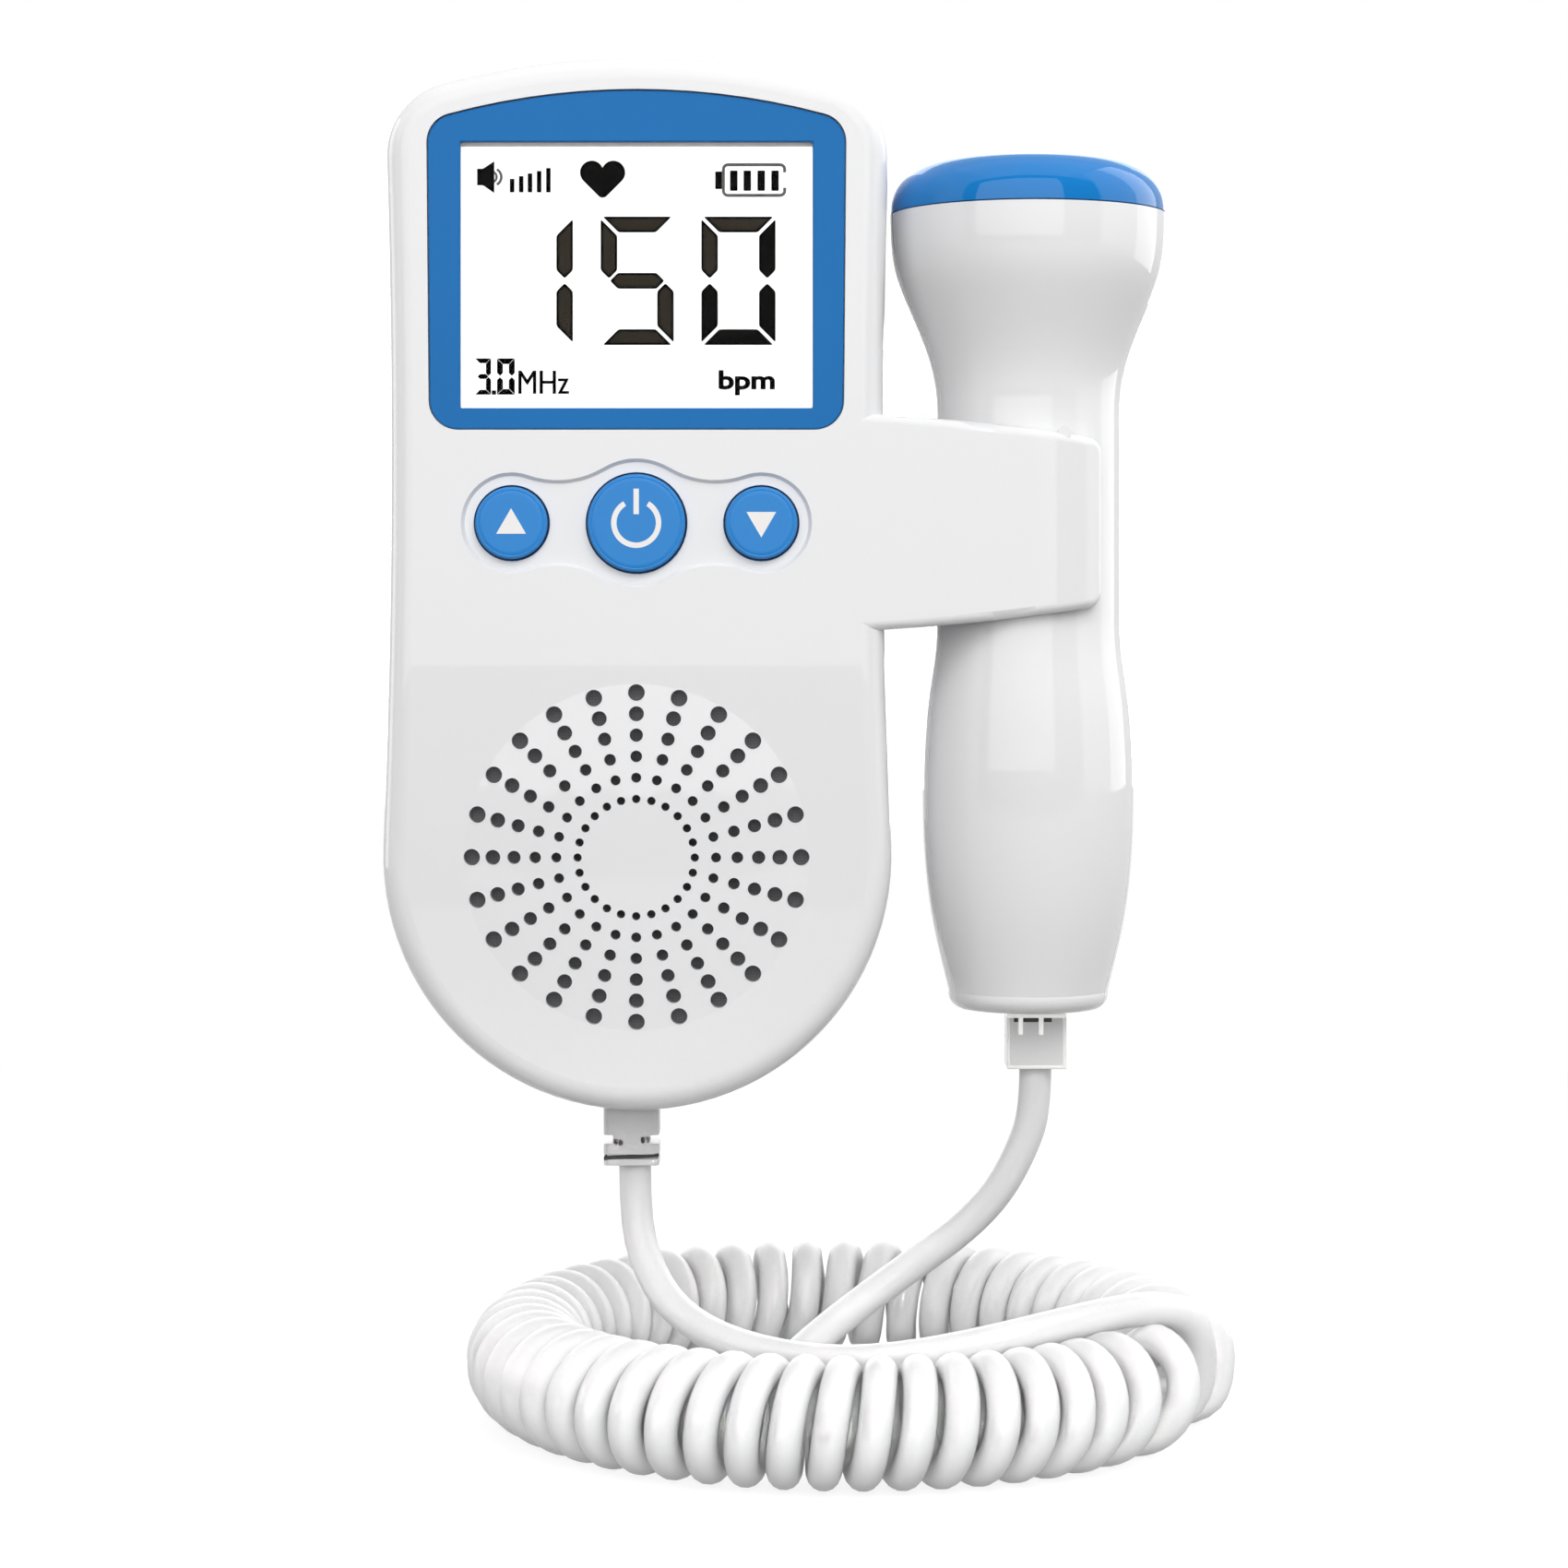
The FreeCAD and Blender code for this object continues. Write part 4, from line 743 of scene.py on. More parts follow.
def sleeved_cell(name):
    """Dry cells: a dark printed-film sleeve, paler towards its ends, and bare plated steel beyond it."""
    low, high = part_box("battery_cells")
    bare_end, pale_end = 1.6 * MM, 12 * MM
    material, tree, shader, place = start_material(name)
    height = add_node(tree, "ShaderNodeSeparateXYZ", {"Vector": place}).outputs["Z"]
    middle, half = (low.z + high.z) / 2, (high.z - low.z) / 2
    away = add_node(tree, "ShaderNodeMath", {0: height, 1: middle}, operation="SUBTRACT")
    away = add_node(tree, "ShaderNodeMath", {0: away.outputs[0]}, operation="ABSOLUTE")
    bare = add_node(tree, "ShaderNodeMath", {
        0: away.outputs[0], 1: half - bare_end}, operation="GREATER_THAN")
    band = add_node(tree, "ShaderNodeMath", {
        0: away.outputs[0], 1: half - pale_end}, operation="GREATER_THAN")
    film = add_node(tree, "ShaderNodeMix", {
        "Factor": band.outputs[0], MIX_A: linear("2B3138"), MIX_B: linear("7D8790")}, data_type="RGBA")
    wear = add_node(tree, "ShaderNodeTexNoise", {"Vector": place, "Scale": patch_scale(3), "Detail": 4.0})
    film = add_node(tree, "ShaderNodeMix", {
        "Factor": wear.outputs["Fac"], MIX_A: film.outputs["Result"], MIX_B: linear("3A4048")},
        data_type="RGBA")
    skin = add_node(tree, "ShaderNodeMix", {
        "Factor": bare.outputs[0], MIX_A: film.outputs["Result"], MIX_B: linear("C8C8C6")},
        data_type="RGBA")
    fill_inputs(tree, shader, {
        "Base Color": skin.outputs["Result"], "Metallic": bare.outputs[0], "Roughness": 0.28})
    return material


class DOPPLER_OT_case(bpy.types.Operator):
    """Finishes the case, the holder, the battery cover and everything inside them"""
    bl_idname = "doppler.case"
    bl_label = "Case and inner parts"

    def execute(self, context):
        colours = context.scene.doppler_colours
        # ABS from a polished mould: crisp soft-box reflections over a clean off-white.
        white = moulded_plastic("abs_polished_white", tuple(colours.case), roughness=0.015, ior=1.53,
                                drift=0.985, grain_mm=0.9, depth_mm=0.0001, specular=0.3)
        dress(white, "front_shell", "rear_shell", "battery_cover")
        # The probe's shells come from a finer mould, worn a little duller by hands.
        handled = moulded_plastic("abs_handled_white", tuple(colours.case), roughness=0.03, ior=1.53,
                                  drift=0.98, grain_mm=1.4, depth_mm=0.0002, specular=0.32)
        dress(handled, "probe_front_shell", "probe_rear_shell")
        # Nylon and phenolic mouldings inside, matt black.
        black = moulded_plastic("nylon_moulded_black", linear("1B1C1E"), roughness=0.5, ior=1.52,
                                drift=0.8, grain_mm=0.25, depth_mm=0.006)
        dress(black, "control_chips", "tact_switches", "earphone_jack", "speaker_frame", "unit_socket",
              "probe_socket")
        # Nickel-plated steel of contacts, springs and magnet.
        nickel = plated_metal("steel_nickel_plated", linear("C9C7C2"), roughness=0.22, grain_mm=0.3)
        dress(nickel, "battery_contacts", "battery_springs", "speaker_magnet")
        dress(sleeved_cell("cell_sleeve_and_can"), "battery_cells")
        dress(board_laminate("glass_epoxy_solder_mask"), "main_board", "probe_board")
        # Pressed paper pulp, dyed grey, with long fibres.
        pulp = moulded_plastic("paper_pulp_pressed", linear("3A3A3B"), roughness=0.9, ior=1.45, drift=0.7,
                               grain_mm=0.6, depth_mm=0.05)
        dress(pulp, "speaker_cone")
        dress(woven_cloth("polyester_woven_grey", linear("747476"), thread_mm=0.2), "grille_cloth")
        # Fired piezo ceramic: chalky cream. Its backing is filled epoxy, cast and dark.
        ceramic = moulded_plastic("pzt_fired_ceramic", linear("D8CFB4"), roughness=0.6, ior=1.6, drift=0.9,
                                  grain_mm=0.4, depth_mm=0.004)
        dress(ceramic, "transducer_crystals")
        epoxy = moulded_plastic("epoxy_cast_filled", linear("34383C"), roughness=0.55, ior=1.55,
                                drift=0.75, grain_mm=0.7, depth_mm=0.01)
        dress(epoxy, "crystal_backing")
        # A small round-topped catch on the holder's upper edge.
        catch = mesh_from("holder_catch", self.catch, 50)
        finish_piece("holder_catch", catch, white, "monitor")
        return {"FINISHED"}

    def catch(self, work):
        """A half-round rib across the edge of the holder."""
        middle, half, front, back = 57.1, 0.85, -34.15, -33.0
        outline = arc_points((middle, 20.05), half, 0, 180, 14)
        outline += [(middle - half, 19.5), (middle + half, 19.5)]
        prism(work, [(x * MM, front * MM, z * MM) for x, z in outline],
              [(x * MM, back * MM, z * MM) for x, z in outline])


# ---- display ----
def segment_digit(left, right, middle, rise, stroke, lit, ease):
    """Loops of a seven-segment figure, its gaps set by an ease of 0 to 1.

    Segments: a top, b c right, d foot, e f left, g middle.
    """
    trim, mitre = 0.38 * stroke * ease, 0.95 * stroke
    lead_in, gap = 0.44 * stroke * ease, (0.11 + 0.1 * ease) * stroke
    loops = []
    for name in lit:
        if name in "ad":
            up = 1 if name == "a" else -1
            outer, inner = middle + up * rise, middle + up * (rise - mitre)
            x0, x1 = left + trim, right - trim
            loop = [(x0, outer), (x1, outer), (x1 - mitre, inner), (x0 + mitre, inner)]
        elif name == "g":
            inwards, half = (0.5 + 0.18 * ease) * stroke, 0.48 * stroke
            x0, x1 = left + inwards, right - inwards
            loop = [(x0, middle), (x0 + half, middle + half), (x1 - half, middle + half),
                    (x1, middle), (x1 - half, middle - half), (x0 + half, middle - half)]
        else:
            up = 1 if name in "bf" else -1
            outer, inner = (right, right - stroke) if name in "bc" else (left, left + stroke)
            tip, far = middle + up * gap, rise - lead_in
            loop = [(outer, middle + up * far), (inner, middle + up * (far - stroke)),
                    (inner, tip + up * stroke / 2), ((outer + inner) / 2, tip),
                    (outer, tip + up * stroke / 2)]
        loops.append(loop)
    return loops


def rectangle(x0, x1, z0, z1):
    """A rectangle's loop."""
    return [(x0, z0), (x1, z0), (x1, z1), (x0, z1)]


def eased(loop, reach):
    """A loop with each corner rounded over a short reach."""
    points = []
    for i, corner in enumerate(loop):
        at = Vector(corner)
        before = Vector(loop[i - 1]) - at
        after = Vector(loop[(i + 1) % len(loop)]) - at
        cut = min(reach, 0.45 * before.length, 0.45 * after.length)
        a, b = at + before.normalized() * cut, at + after.normalized() * cut
        points += [tuple(a), tuple((a + 2 * at + b) / 4), tuple(b)]
    return points


def inset(loop, width):
    """A convex loop drawn in by a width all round."""
    middle = sum((Vector(p) for p in loop), Vector((0, 0))) / len(loop)
    points = []
    for i, corner in enumerate(loop):
        at, normals = Vector(corner), []
        for other in (loop[i - 1], loop[(i + 1) % len(loop)]):
            along = (Vector(other) - at).normalized()
            normal = Vector((-along.y, along.x))
            normals.append(normal if normal.dot(middle - at) > 0 else -normal)
        points.append(tuple(at + (normals[0] + normals[1]) * width / (1 + normals[0].dot(normals[1]))))
    return points


def lettering(name, words, size, weight, place):
    """Words as a thin flat mesh, made from a text curve before it is placed."""
    text = bpy.data.curves.new(name, "FONT")
    text.body = words
    text.size = size
    text.offset = weight
    text.extrude = 0.02 * MM
    text.resolution_u = 4
    mesh = mesh_of_curve(text)
    mesh.transform(place)
    return mesh


def flat_shapes(name, loops, y_front, y_back, lift):
    """Loops of (x, z) in millimetres as thin plates between two depths, raised by a lift."""
    def build(work):
        for loop in loops:
            prism(work, [(x * MM, y_front, z * MM + lift) for x, z in loop],
                  [(x * MM, y_back, z * MM + lift) for x, z in loop])
    return mesh_from(name, build, 20)


# What the display shows, in millimetres from the middle of its panel.
# Large figures: left edge, right edge, segments lit.
LARGE_FIGURES = ((8.62, 18.53, "afbcde"), (-18.4, -8.58, "bc"), (-4.85, 4.91, "afgcd"))
# Small figures: left edge, right edge, width of a stroke, segments lit.
SMALL_FIGURES = ((-21.66, -19.54, 0.66, "abgcd"), (-18.72, -16.36, 0.78, "abcdef"))
# Volume bars: middle and top.
VOLUME_BARS = ((-16.71, 13.01), (-15.49, 13.38), (-14.31, 13.75), (-13.09, 14.06), (-11.85, 14.46))
# The middles of the battery sign's cells.
BATTERY_BARS = (12.95, 14.76, 16.62, 18.47)


class DOPPLER_OT_display(bpy.types.Operator):
    """Builds the display: its frame, window, back-lit panel and readout"""
    bl_idname = "doppler.display"
    bl_label = "Display"

    def execute(self, context):
        colours = context.scene.doppler_colours
        # ABS from a lightly textured mould, painted: an even satin blue.
        blue = moulded_plastic("abs_moulded_bezel_blue", tuple(colours.bezel), roughness=0.32, ior=1.53,
                               drift=0.93, grain_mm=0.5, depth_mm=0.0015, specular=0.08)
        frame_mesh = softened_copy("display_bezel", 0.22 * MM)
        finish_piece("bezel_frame", frame_mesh, blue, "monitor", ("display_bezel",))
        self.window()
        self.panel_shadow_strip()
        self.panel()
        self.readout(tuple(colours.readout))
        return {"FINISHED"}

    def window(self):
        """A clear acrylic sheet, laser cut, with a coating that leaves it almost without a reflection."""
        material, tree, shader, place = start_material("pmma_clear_sheet")
        smear = add_node(tree, "ShaderNodeTexNoise", {
            "Vector": place, "Scale": patch_scale(14), "Detail": 3.0})
        gloss = add_node(tree, "ShaderNodeMapRange", {
            "Value": smear.outputs["Fac"], "To Min": 0.002, "To Max": 0.006})
        fill_inputs(tree, shader, {
            "Base Color": (1, 1, 1, 1), "Roughness": gloss.outputs["Result"], "Transmission Weight": 1.0,
            "IOR": 1.49, "Specular IOR Level": 0.02, "Specular Tint": (0.05, 0.05, 0.05, 1.0)})
        low, high = window_low + Vector((0, 0.02 * MM, 0)), window_high - Vector((0, 0.2 * MM, 0))

        def build(work):
            stretch = Matrix.Diagonal((*(high - low), 1))
            bmesh.ops.create_cube(work, size=1.0, matrix=Matrix.Translation((low + high) / 2) @ stretch)
            bmesh.ops.bevel(work, geom=work.edges[:], offset=0.15 * MM, segments=2, affect="EDGES")
        finish_piece("window_sheet", mesh_from("window_sheet", build), material, "monitor",
                     ("display_window",))

    def panel_shadow_strip(self):
        """A thin pale strip along the top of the glass, just showing past the frame: unlit against the
        glowing panel, it stands in as a painted shadow of the frame.
        """
        foam = moulded_plastic("foam_strip_painted_shadow", linear("F2EFEA"), roughness=0.9, ior=1.45,
                               drift=0.95, grain_mm=0.4, depth_mm=0.01, specular=0.2)
        half, front, back, foot, top = 23.9, -32.97, -32.83, 58.36, 59.72

        def build(work):
            bar(work, -half, half, front, back, foot, top)
        finish_piece("window_shadow_strip", mesh_from("window_shadow_strip", build), foam, "monitor")

    def panel(self):
        """The liquid-crystal panel and its light guide: an even white glow, a touch warmer in patches."""
        material, tree, shader, place = start_material("lcd_glass_backlit")
        cloud = add_node(tree, "ShaderNodeTexNoise", {
            "Vector": place, "Scale": patch_scale(30), "Detail": 1.0})
        glow = add_node(tree, "ShaderNodeMix", {
            "Factor": cloud.outputs["Fac"], MIX_A: linear("FFFFFF"), MIX_B: linear("FBFBFA")},
            data_type="RGBA")
        fill_inputs(tree, shader, {
            "Emission Color": glow.outputs["Result"], "Emission Strength": 0.8,
            "Base Color": linear("B4B6B4"), "Roughness": 0.45, "IOR": 1.52})
        dress(material, "lcd_panel")
        guide = moulded_plastic("pmma_milky_light_guide", linear("ECECE8"), roughness=0.4, ior=1.49,
                                drift=0.97, grain_mm=0.8, depth_mm=0.002)
        dress(guide, "lcd_backlight")

    def readout(self, dark):
        """The figures and signs that the panel shows, just in front of its glass."""
        front, back = panel_low.y - 0.10 * MM, panel_low.y - 0.02 * MM
        large = []
        for left, right, lit in LARGE_FIGURES:
            large += segment_digit(left, right, middle=-0.63, rise=8.58, stroke=2.2, lit=lit, ease=0.35)
        figures = [eased(loop, 0.25) for loop in large]
        for left, right, stroke, lit in SMALL_FIGURES:
            small = segment_digit(left, right, middle=-13.43, rise=2.42, stroke=stroke, lit=lit, ease=0.1)
            figures += [eased(loop, 0.05) for loop in small]
        figures += self.signs()
        # Liquid-crystal segments: near-black all over; the lighter middles laid on them below are a painted
        # reflection.
        material = moulded_plastic("lcd_segment_dark", dark, roughness=0.15, ior=1.52, drift=1.4,
                                   grain_mm=3.0, depth_mm=0.0, specular=0.0)
        marks = [flat_shapes("figures", figures, front, back, DISPLAY_Z)]
        rate = self.on_glass(10.8, -15.05, 1.27, front)
        marks.append(lettering("unit_of_rate", "bpm", 3.45 * MM, 0.11 * MM, rate))
        # Laid twice, a hair apart, which makes its upright strokes heavier.
        for x in (-16.14, -16.06):
            tone = self.on_glass(x, -15.75, 0.80, front)
            marks.append(lettering("unit_of_tone", "MHz", 4.55 * MM, 0.0, tone))
        finish_piece("readout_dark", join_meshes("readout_dark", marks), material, "monitor")
        # A painted reflection: the middle of most large segments, a little lighter and warmer than its rim.
        core = moulded_plastic("lcd_segment_painted_reflection", linear("37322A"), roughness=0.15, ior=1.52, drift=0.8,
                               grain_mm=4.0, depth_mm=0.0, specular=0.0)
        first_figure = len(LARGE_FIGURES[0][2])
        reflection_loops = [eased(inset(loop, 0.3), 0.2) for loop in large[:2] + large[first_figure:]]
        reflection_mesh = flat_shapes("readout_painted_reflection", reflection_loops, front - 0.02 * MM, front + 0.01 * MM, DISPLAY_Z)
        finish_piece("readout_painted_reflection", reflection_mesh, core, "monitor")
        pale = [self.hook(-19.3, 13.26, 1.15, 0.34), self.hook(-19.5, 13.26, 0.72, 0.3)]
        pale.append(self.battery_frame(11.36, 19.96, 10.6, 15.1, 0.4))
        grey = moulded_plastic("lcd_segment_grey", linear("6A6866"), roughness=0.6, ior=1.52, drift=0.8,
                               grain_mm=3.0, depth_mm=0.0, specular=0.05)
        grey_mesh = flat_shapes("readout_grey", pale, front, back, DISPLAY_Z)
        finish_piece("readout_grey", grey_mesh, grey, "monitor")

    def on_glass(self, x, z, wide, front):
        """Where words stand on the glass, and how much they are stretched."""
        spot = Matrix.Translation((x * MM, front, DISPLAY_Z + z * MM))
        return spot @ FACE_FRONT @ Matrix.Diagonal((wide, 1, 1, 1))

    def signs(self):
        """Loops of the decimal point, the loudspeaker, its volume bars, the battery and the heart."""
        loops = [rectangle(-19.42, -18.86, -15.86, -15.3)]
        loops.append(rectangle(-21.38, -20.45, 12.15, 14.37))
        loops.append([(-20.6, 12.15), (-19.1, 11.1), (-19.1, 15.36), (-20.6, 14.37)])
        for x, top in VOLUME_BARS:
            loops.append(rectangle(x - 0.3, x + 0.3, 11.21, top))
        for x in BATTERY_BARS:
            loops.append(eased(rectangle(x - 0.5, x + 0.5, 11.41, 14.12), 0.1))
        loops.append(eased(rectangle(10.47, 11.36, 11.65, 14.0), 0.1))
        loops.append(self.heart(-4.6, 15.44, 10.5, 6.05))
        return loops

    def heart(self, x, top, foot, width):
        """A heart: two round lobes and straight flanks to a blunt tip."""
        lobe, tip = 0.262 * width, 0.13 * width
        out, height = width / 2 - lobe, top - lobe
        right = arc_points((x + out, height), lobe, 157, -47, 16)
        right += arc_points((x, foot + tip), tip, -47, -90, 5)
        left = [(2 * x - px, pz) for px, pz in reversed(right[:-1])]
        return right + left[:-1]

    def hook(self, x, z, radius, width):
        """The sound wave beside the loudspeaker sign."""
        outer = arc_points((x, z), radius + width / 2, -62, 62, 14)
        inner = arc_points((x, z), radius - width / 2, 62, -62, 14)
        return outer + inner

    def battery_frame(self, x0, x1, z0, z1, line):
        """The battery sign's outline, round at its corners and open in the middle of its right side."""
        closed, corner = (z1 - z0) * 0.27, 0.8
        left, right, low, high = x0 + corner, x1 - corner, z0 + corner, z1 - corner
        rims = []
        for inwards in (0, line):
            rim = [(x1 - inwards, z1 - closed)]
            for x, z, angle in ((right, high, 0), (left, high, 90), (left, low, 180), (right, low, 270)):
                rim += arc_points((x, z), corner - inwards, angle, angle + 90, 4)
            rims.append(rim + [(x1 - inwards, z0 + closed)])
        return rims[0] + rims[1][::-1]


# ---- buttons ----
class DOPPLER_OT_buttons(bpy.types.Operator):
    """Turns the three buttons with their edge rings and prints their marks"""
    bl_idname = "doppler.buttons"
    bl_label = "Buttons"

    def execute(self, context):
        colours = context.scene.doppler_colours
        # ABS moulded in blue, satin from handling.
        blue = moulded_plastic("abs_moulded_button_blue", tuple(colours.button), roughness=0.3, ior=1.53,
                               drift=0.95, grain_mm=0.4, depth_mm=0.002, specular=0.25)
        # Pad-printed ink: flat, slightly raised, a touch warm.
        ink = moulded_plastic("ink_pad_printed_white", tuple(colours.print_white), roughness=0.45, ior=1.5,
                              drift=0.98, grain_mm=0.3, depth_mm=0.002)
        buttons = (("up_button", "up_key", [self.triangle(1)]),
                   ("down_button", "down_key", [self.triangle(-1)]),
                   ("power_button", "power_key", self.power_mark()))
        for node, body, loops in buttons:
            low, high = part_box(node)
            x, z, front = (low.x + high.x) / 2, (low.z + high.z) / 2, low.y
            section = self.profile((high.x - low.x) / 2, high.y - front)
            place = Matrix.Translation((x, front, z)) @ FACE_FRONT
            cap = mesh_from(node + "_cap", lambda work: turned(work, section, 96, place), 50)
            finish_piece(node + "_cap", cap, blue, body, (node,))
            printed = [[(px + x / MM, pz) for px, pz in loop] for loop in loops]
            mark = flat_shapes(node + "_mark", printed, front - 0.02 * MM, front + 0.03 * MM, z)
            finish_piece(node + "_mark", mark, ink, body)
        return {"FINISHED"}

    def profile(self, outside, depth):
        """Half section of a button from the middle of its face out and back: groove, round edge, flange."""
        flange, flange_depth, edge = 1.0 * MM, 0.8 * MM, 0.37 * MM
        radius, foot = outside - flange, flange_depth - depth
        rows = [(0.0, 0.0), (radius - 1.0 * MM, 0.0), (radius - 0.58 * MM, 0.0),
                (radius - 0.48 * MM, -0.07 * MM), (radius - 0.38 * MM, -0.01 * MM)]
        rows += arc_points((radius - edge, -0.38 * MM), edge, 90, 0, 7)[1:]
        rows += [(radius, foot), (outside, foot), (outside, -depth), (0.0, -depth)]
        return rows

    def triangle(self, up):
        """An arrow head, pointing up for 1 and down for -1."""
        height, half, tip = 3.4, 1.98, 1.95
        return [(0, up * tip), (-half, up * (tip - height)), (half, up * (tip - height))]

    def power_mark(self):
        """The power sign as two shapes: an open ring and its bar."""
        ring = arc_points((0, 0), 3.34, 121, 419, 72) + arc_points((0, 0), 2.62, 419, 121, 72)
        return [ring, rectangle(-0.36, 0.36, 1.15, 4.55)]


# ---- probe and plugs ----
class DOPPLER_OT_probe(bpy.types.Operator):
    """Finishes the probe's cap and its face, and builds the two plugs of the lead"""
    bl_idname = "doppler.probe"
    bl_label = "Probe and plugs"

    def execute(self, context):
        colours = context.scene.doppler_colours
        # ABS from a mirror-polished mould, dyed through: deep blue under hard-edged reflections.
        blue = moulded_plastic("abs_polished_cap_blue", tuple(colours.cap), roughness=0.02, ior=1.53,
                               drift=0.95, grain_mm=0.9, depth_mm=0.0002, specular=0.3)
        dress(blue, "probe_cap")
        # Silicone rubber, cast: a soft milky grey with a dull skin.
        rubber = moulded_plastic("silicone_cast_grey", linear("B9BCC0"), roughness=0.42, ior=1.41,
                                 drift=0.94, grain_mm=0.6, depth_mm=0.003)
        dress(rubber, "acoustic_window")
        # A painted shadow under the cap: a thin dark ring standing for the shade in the joint.
        gap = moulded_plastic("abs_painted_shadow_blue", linear("123A63"), roughness=0.6, ior=1.53,
                              drift=0.9, grain_mm=0.6, depth_mm=0.001, specular=0.1)
        finish_piece("cap_painted_shadow", mesh_from("cap_painted_shadow", self.joint, 40), gap, "probe")
        # PVC moulded over the lead's end: pale grey, a little glossy, with slow shade drift.
        grey = moulded_plastic("pvc_moulded_plug_grey", tuple(colours.plug), roughness=0.3, ior=1.54,
                               drift=0.93, grain_mm=0.6, depth_mm=0.002)
        # Polycarbonate, moulded clear: milky where it is thick, and given a faint painted glow below.
        milky = moulded_plastic("polycarbonate_milky_painted_glow", linear("E6E6E4"), roughness=0.2, ior=1.585,
                                drift=0.98, grain_mm=0.8, depth_mm=0.001)
        # The same, thin and clear at the mouth: a stronger painted glow below makes it look almost white.
        clear = moulded_plastic("polycarbonate_clear_painted_glow", linear("FAFAF6"), roughness=0.15, ior=1.585,
                                drift=0.99, grain_mm=0.8, depth_mm=0.0005)
        # Painted glow: both plastics glow, though no lamp is in them.
        for material, glow in ((milky, 0.1), (clear, 0.28)):
            fill_inputs(material.node_tree, material.node_tree.nodes["Principled BSDF"], {
                "Emission Color": (1.0, 1.0, 0.98, 1.0), "Emission Strength": glow})
        # The core of the probe's plug: the same PVC in a steadier shade.
        pale = moulded_plastic("pvc_moulded_core_grey", linear("D8D8D8"), roughness=0.3, ior=1.54,
                               drift=0.96, grain_mm=0.6, depth_mm=0.002)
        black = bpy.data.materials["nylon_moulded_black"]

        holes = mesh_from("unit_plug_holes", self.unit_holes)
        body = carved("unit_plug_body", softened_copy("unit_plug", 0.22 * MM), holes)
        finish_piece("unit_plug_body", body, grey, "monitor", ("unit_plug",))
        # Painted shadow: a dark band in the plug's groove stands for the shade there.
        groove_shadow = mesh_from("unit_plug_painted_shadow", self.groove_shadow_band, 50)
        finish_piece("unit_plug_painted_shadow", groove_shadow, black, "monitor")
        plug = softened_copy("probe_plug", 0.25 * MM)
        finish_piece("probe_plug_body", plug, pale, "probe", ("probe_plug",))
        sides = mesh_from("probe_plug_frame", self.probe_frame, 50)
        finish_piece("probe_plug_frame", sides, milky, "probe")
        rim = mesh_from("probe_plug_rim", self.probe_rim, 50)
        finish_piece("probe_plug_rim", rim, clear, "probe")
        # Painted shadow: dark blocks under the rim stand for the shade in the slit.
        mouth = mesh_from("probe_plug_painted_shadow", self.mouth_shadow_blocks)
        finish_piece("probe_plug_painted_shadow", mouth, black, "probe")
        return {"FINISHED"}

    def joint(self, work):
        """A thin dark ring round the probe at the foot of its cap: a painted shadow in the joint."""
        low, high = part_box("probe_cap")
        radius = (high.x - low.x) / 2
        inner, outer, foot, top = radius - 0.3 * MM, radius + 0.02 * MM, 0.02 * MM, 0.2 * MM
        place = Matrix.Translation(((low.x + high.x) / 2, (low.y + high.y) / 2, low.z))
        turned(work, [(inner, top), (outer, top), (outer, foot), (inner, foot), (inner, top)], 96, place)

    def unit_holes(self, work):
        """Two pairs of moulding holes beside the notches in the unit's plug."""
        for x, z in ((-3.30, -76.2), (-2.64, -76.3), (0.40, -75.9), (1.04, -75.85)):
            place = Matrix.Translation((x * MM, -22.2 * MM, z * MM)) @ FACE_FRONT
            bmesh.ops.create_cone(work, cap_ends=True, segments=20, radius1=0.3 * MM, radius2=0.3 * MM,
                                  depth=4 * MM, matrix=place @ Matrix.Diagonal((1.0, 1.6, 1.0, 1.0)))

    def groove_shadow_band(self, work):
        """A dark band in the groove near the plug's end, a little askew: a painted shadow standing for the
        groove's shade.
        """
        low, high = box_mm("unit_plug")
        sunk, proud, half_height = 0.05, 0.02, 0.24
        half = (high.x - low.x) / 2 - sunk
        bar(work, -half, half, low.y - proud, high.y + proud, -half_height, half_height, 0.1)
        place = Matrix.Translation(((low.x + high.x) / 2 * MM, 0, (low.z + 1.2) * MM))
        askew = Matrix.Rotation(math.radians(-3.4), 4, "Y")
        bmesh.ops.transform(work, matrix=place @ askew, verts=work.verts)

    def probe_frame(self, work):
        """The milky body round the plug's grey core: its sides and its foot."""
        low, high = box_mm("probe_plug")
        foot = HANDLE_FOOT / MM
        bar(work, low.x - 0.04, low.x + 0.34, low.y - 0.03, high.y + 0.03, low.z + 0.2, foot - 0.9, 0.15)
        bar(work, high.x - 0.52, high.x + 0.04, low.y - 0.03, high.y + 0.03, low.z + 0.2, foot - 0.9, 0.18)
        bar(work, low.x - 0.04, high.x + 0.04, low.y - 0.04, high.y + 0.04, low.z - 0.02, low.z + 0.55,
            0.18)

    def probe_rim(self, work):
        """The clear rim round the plug's mouth and the two latches under it."""
        low, high = box_mm("probe_plug")
        foot = HANDLE_FOOT / MM
        bar(work, low.x - 0.05, high.x - 0.1, low.y - 0.2, high.y + 0.2, foot - 1.1, foot - 0.1, 0.16)
        for x in (52.0, 54.8):
            bar(work, x - 0.28, x + 0.28, low.y - 0.03, low.y + 0.9, foot - 3.38, foot - 0.95, 0.08)

    def mouth_shadow_blocks(self, work):
        """Dark blocks in the slit between the rim and the plug: a painted shadow standing for the slit's
        shade.
        """
        low = box_mm("probe_plug")[0]
        foot = HANDLE_FOOT / MM
        for x0, x1 in ((51.05, 51.66), (52.34, 54.44), (55.14, 56.25)):
            bar(work, x0, x1, low.y - 0.08, low.y + 0.5, foot - 1.68, foot - 1.05, 0.12)


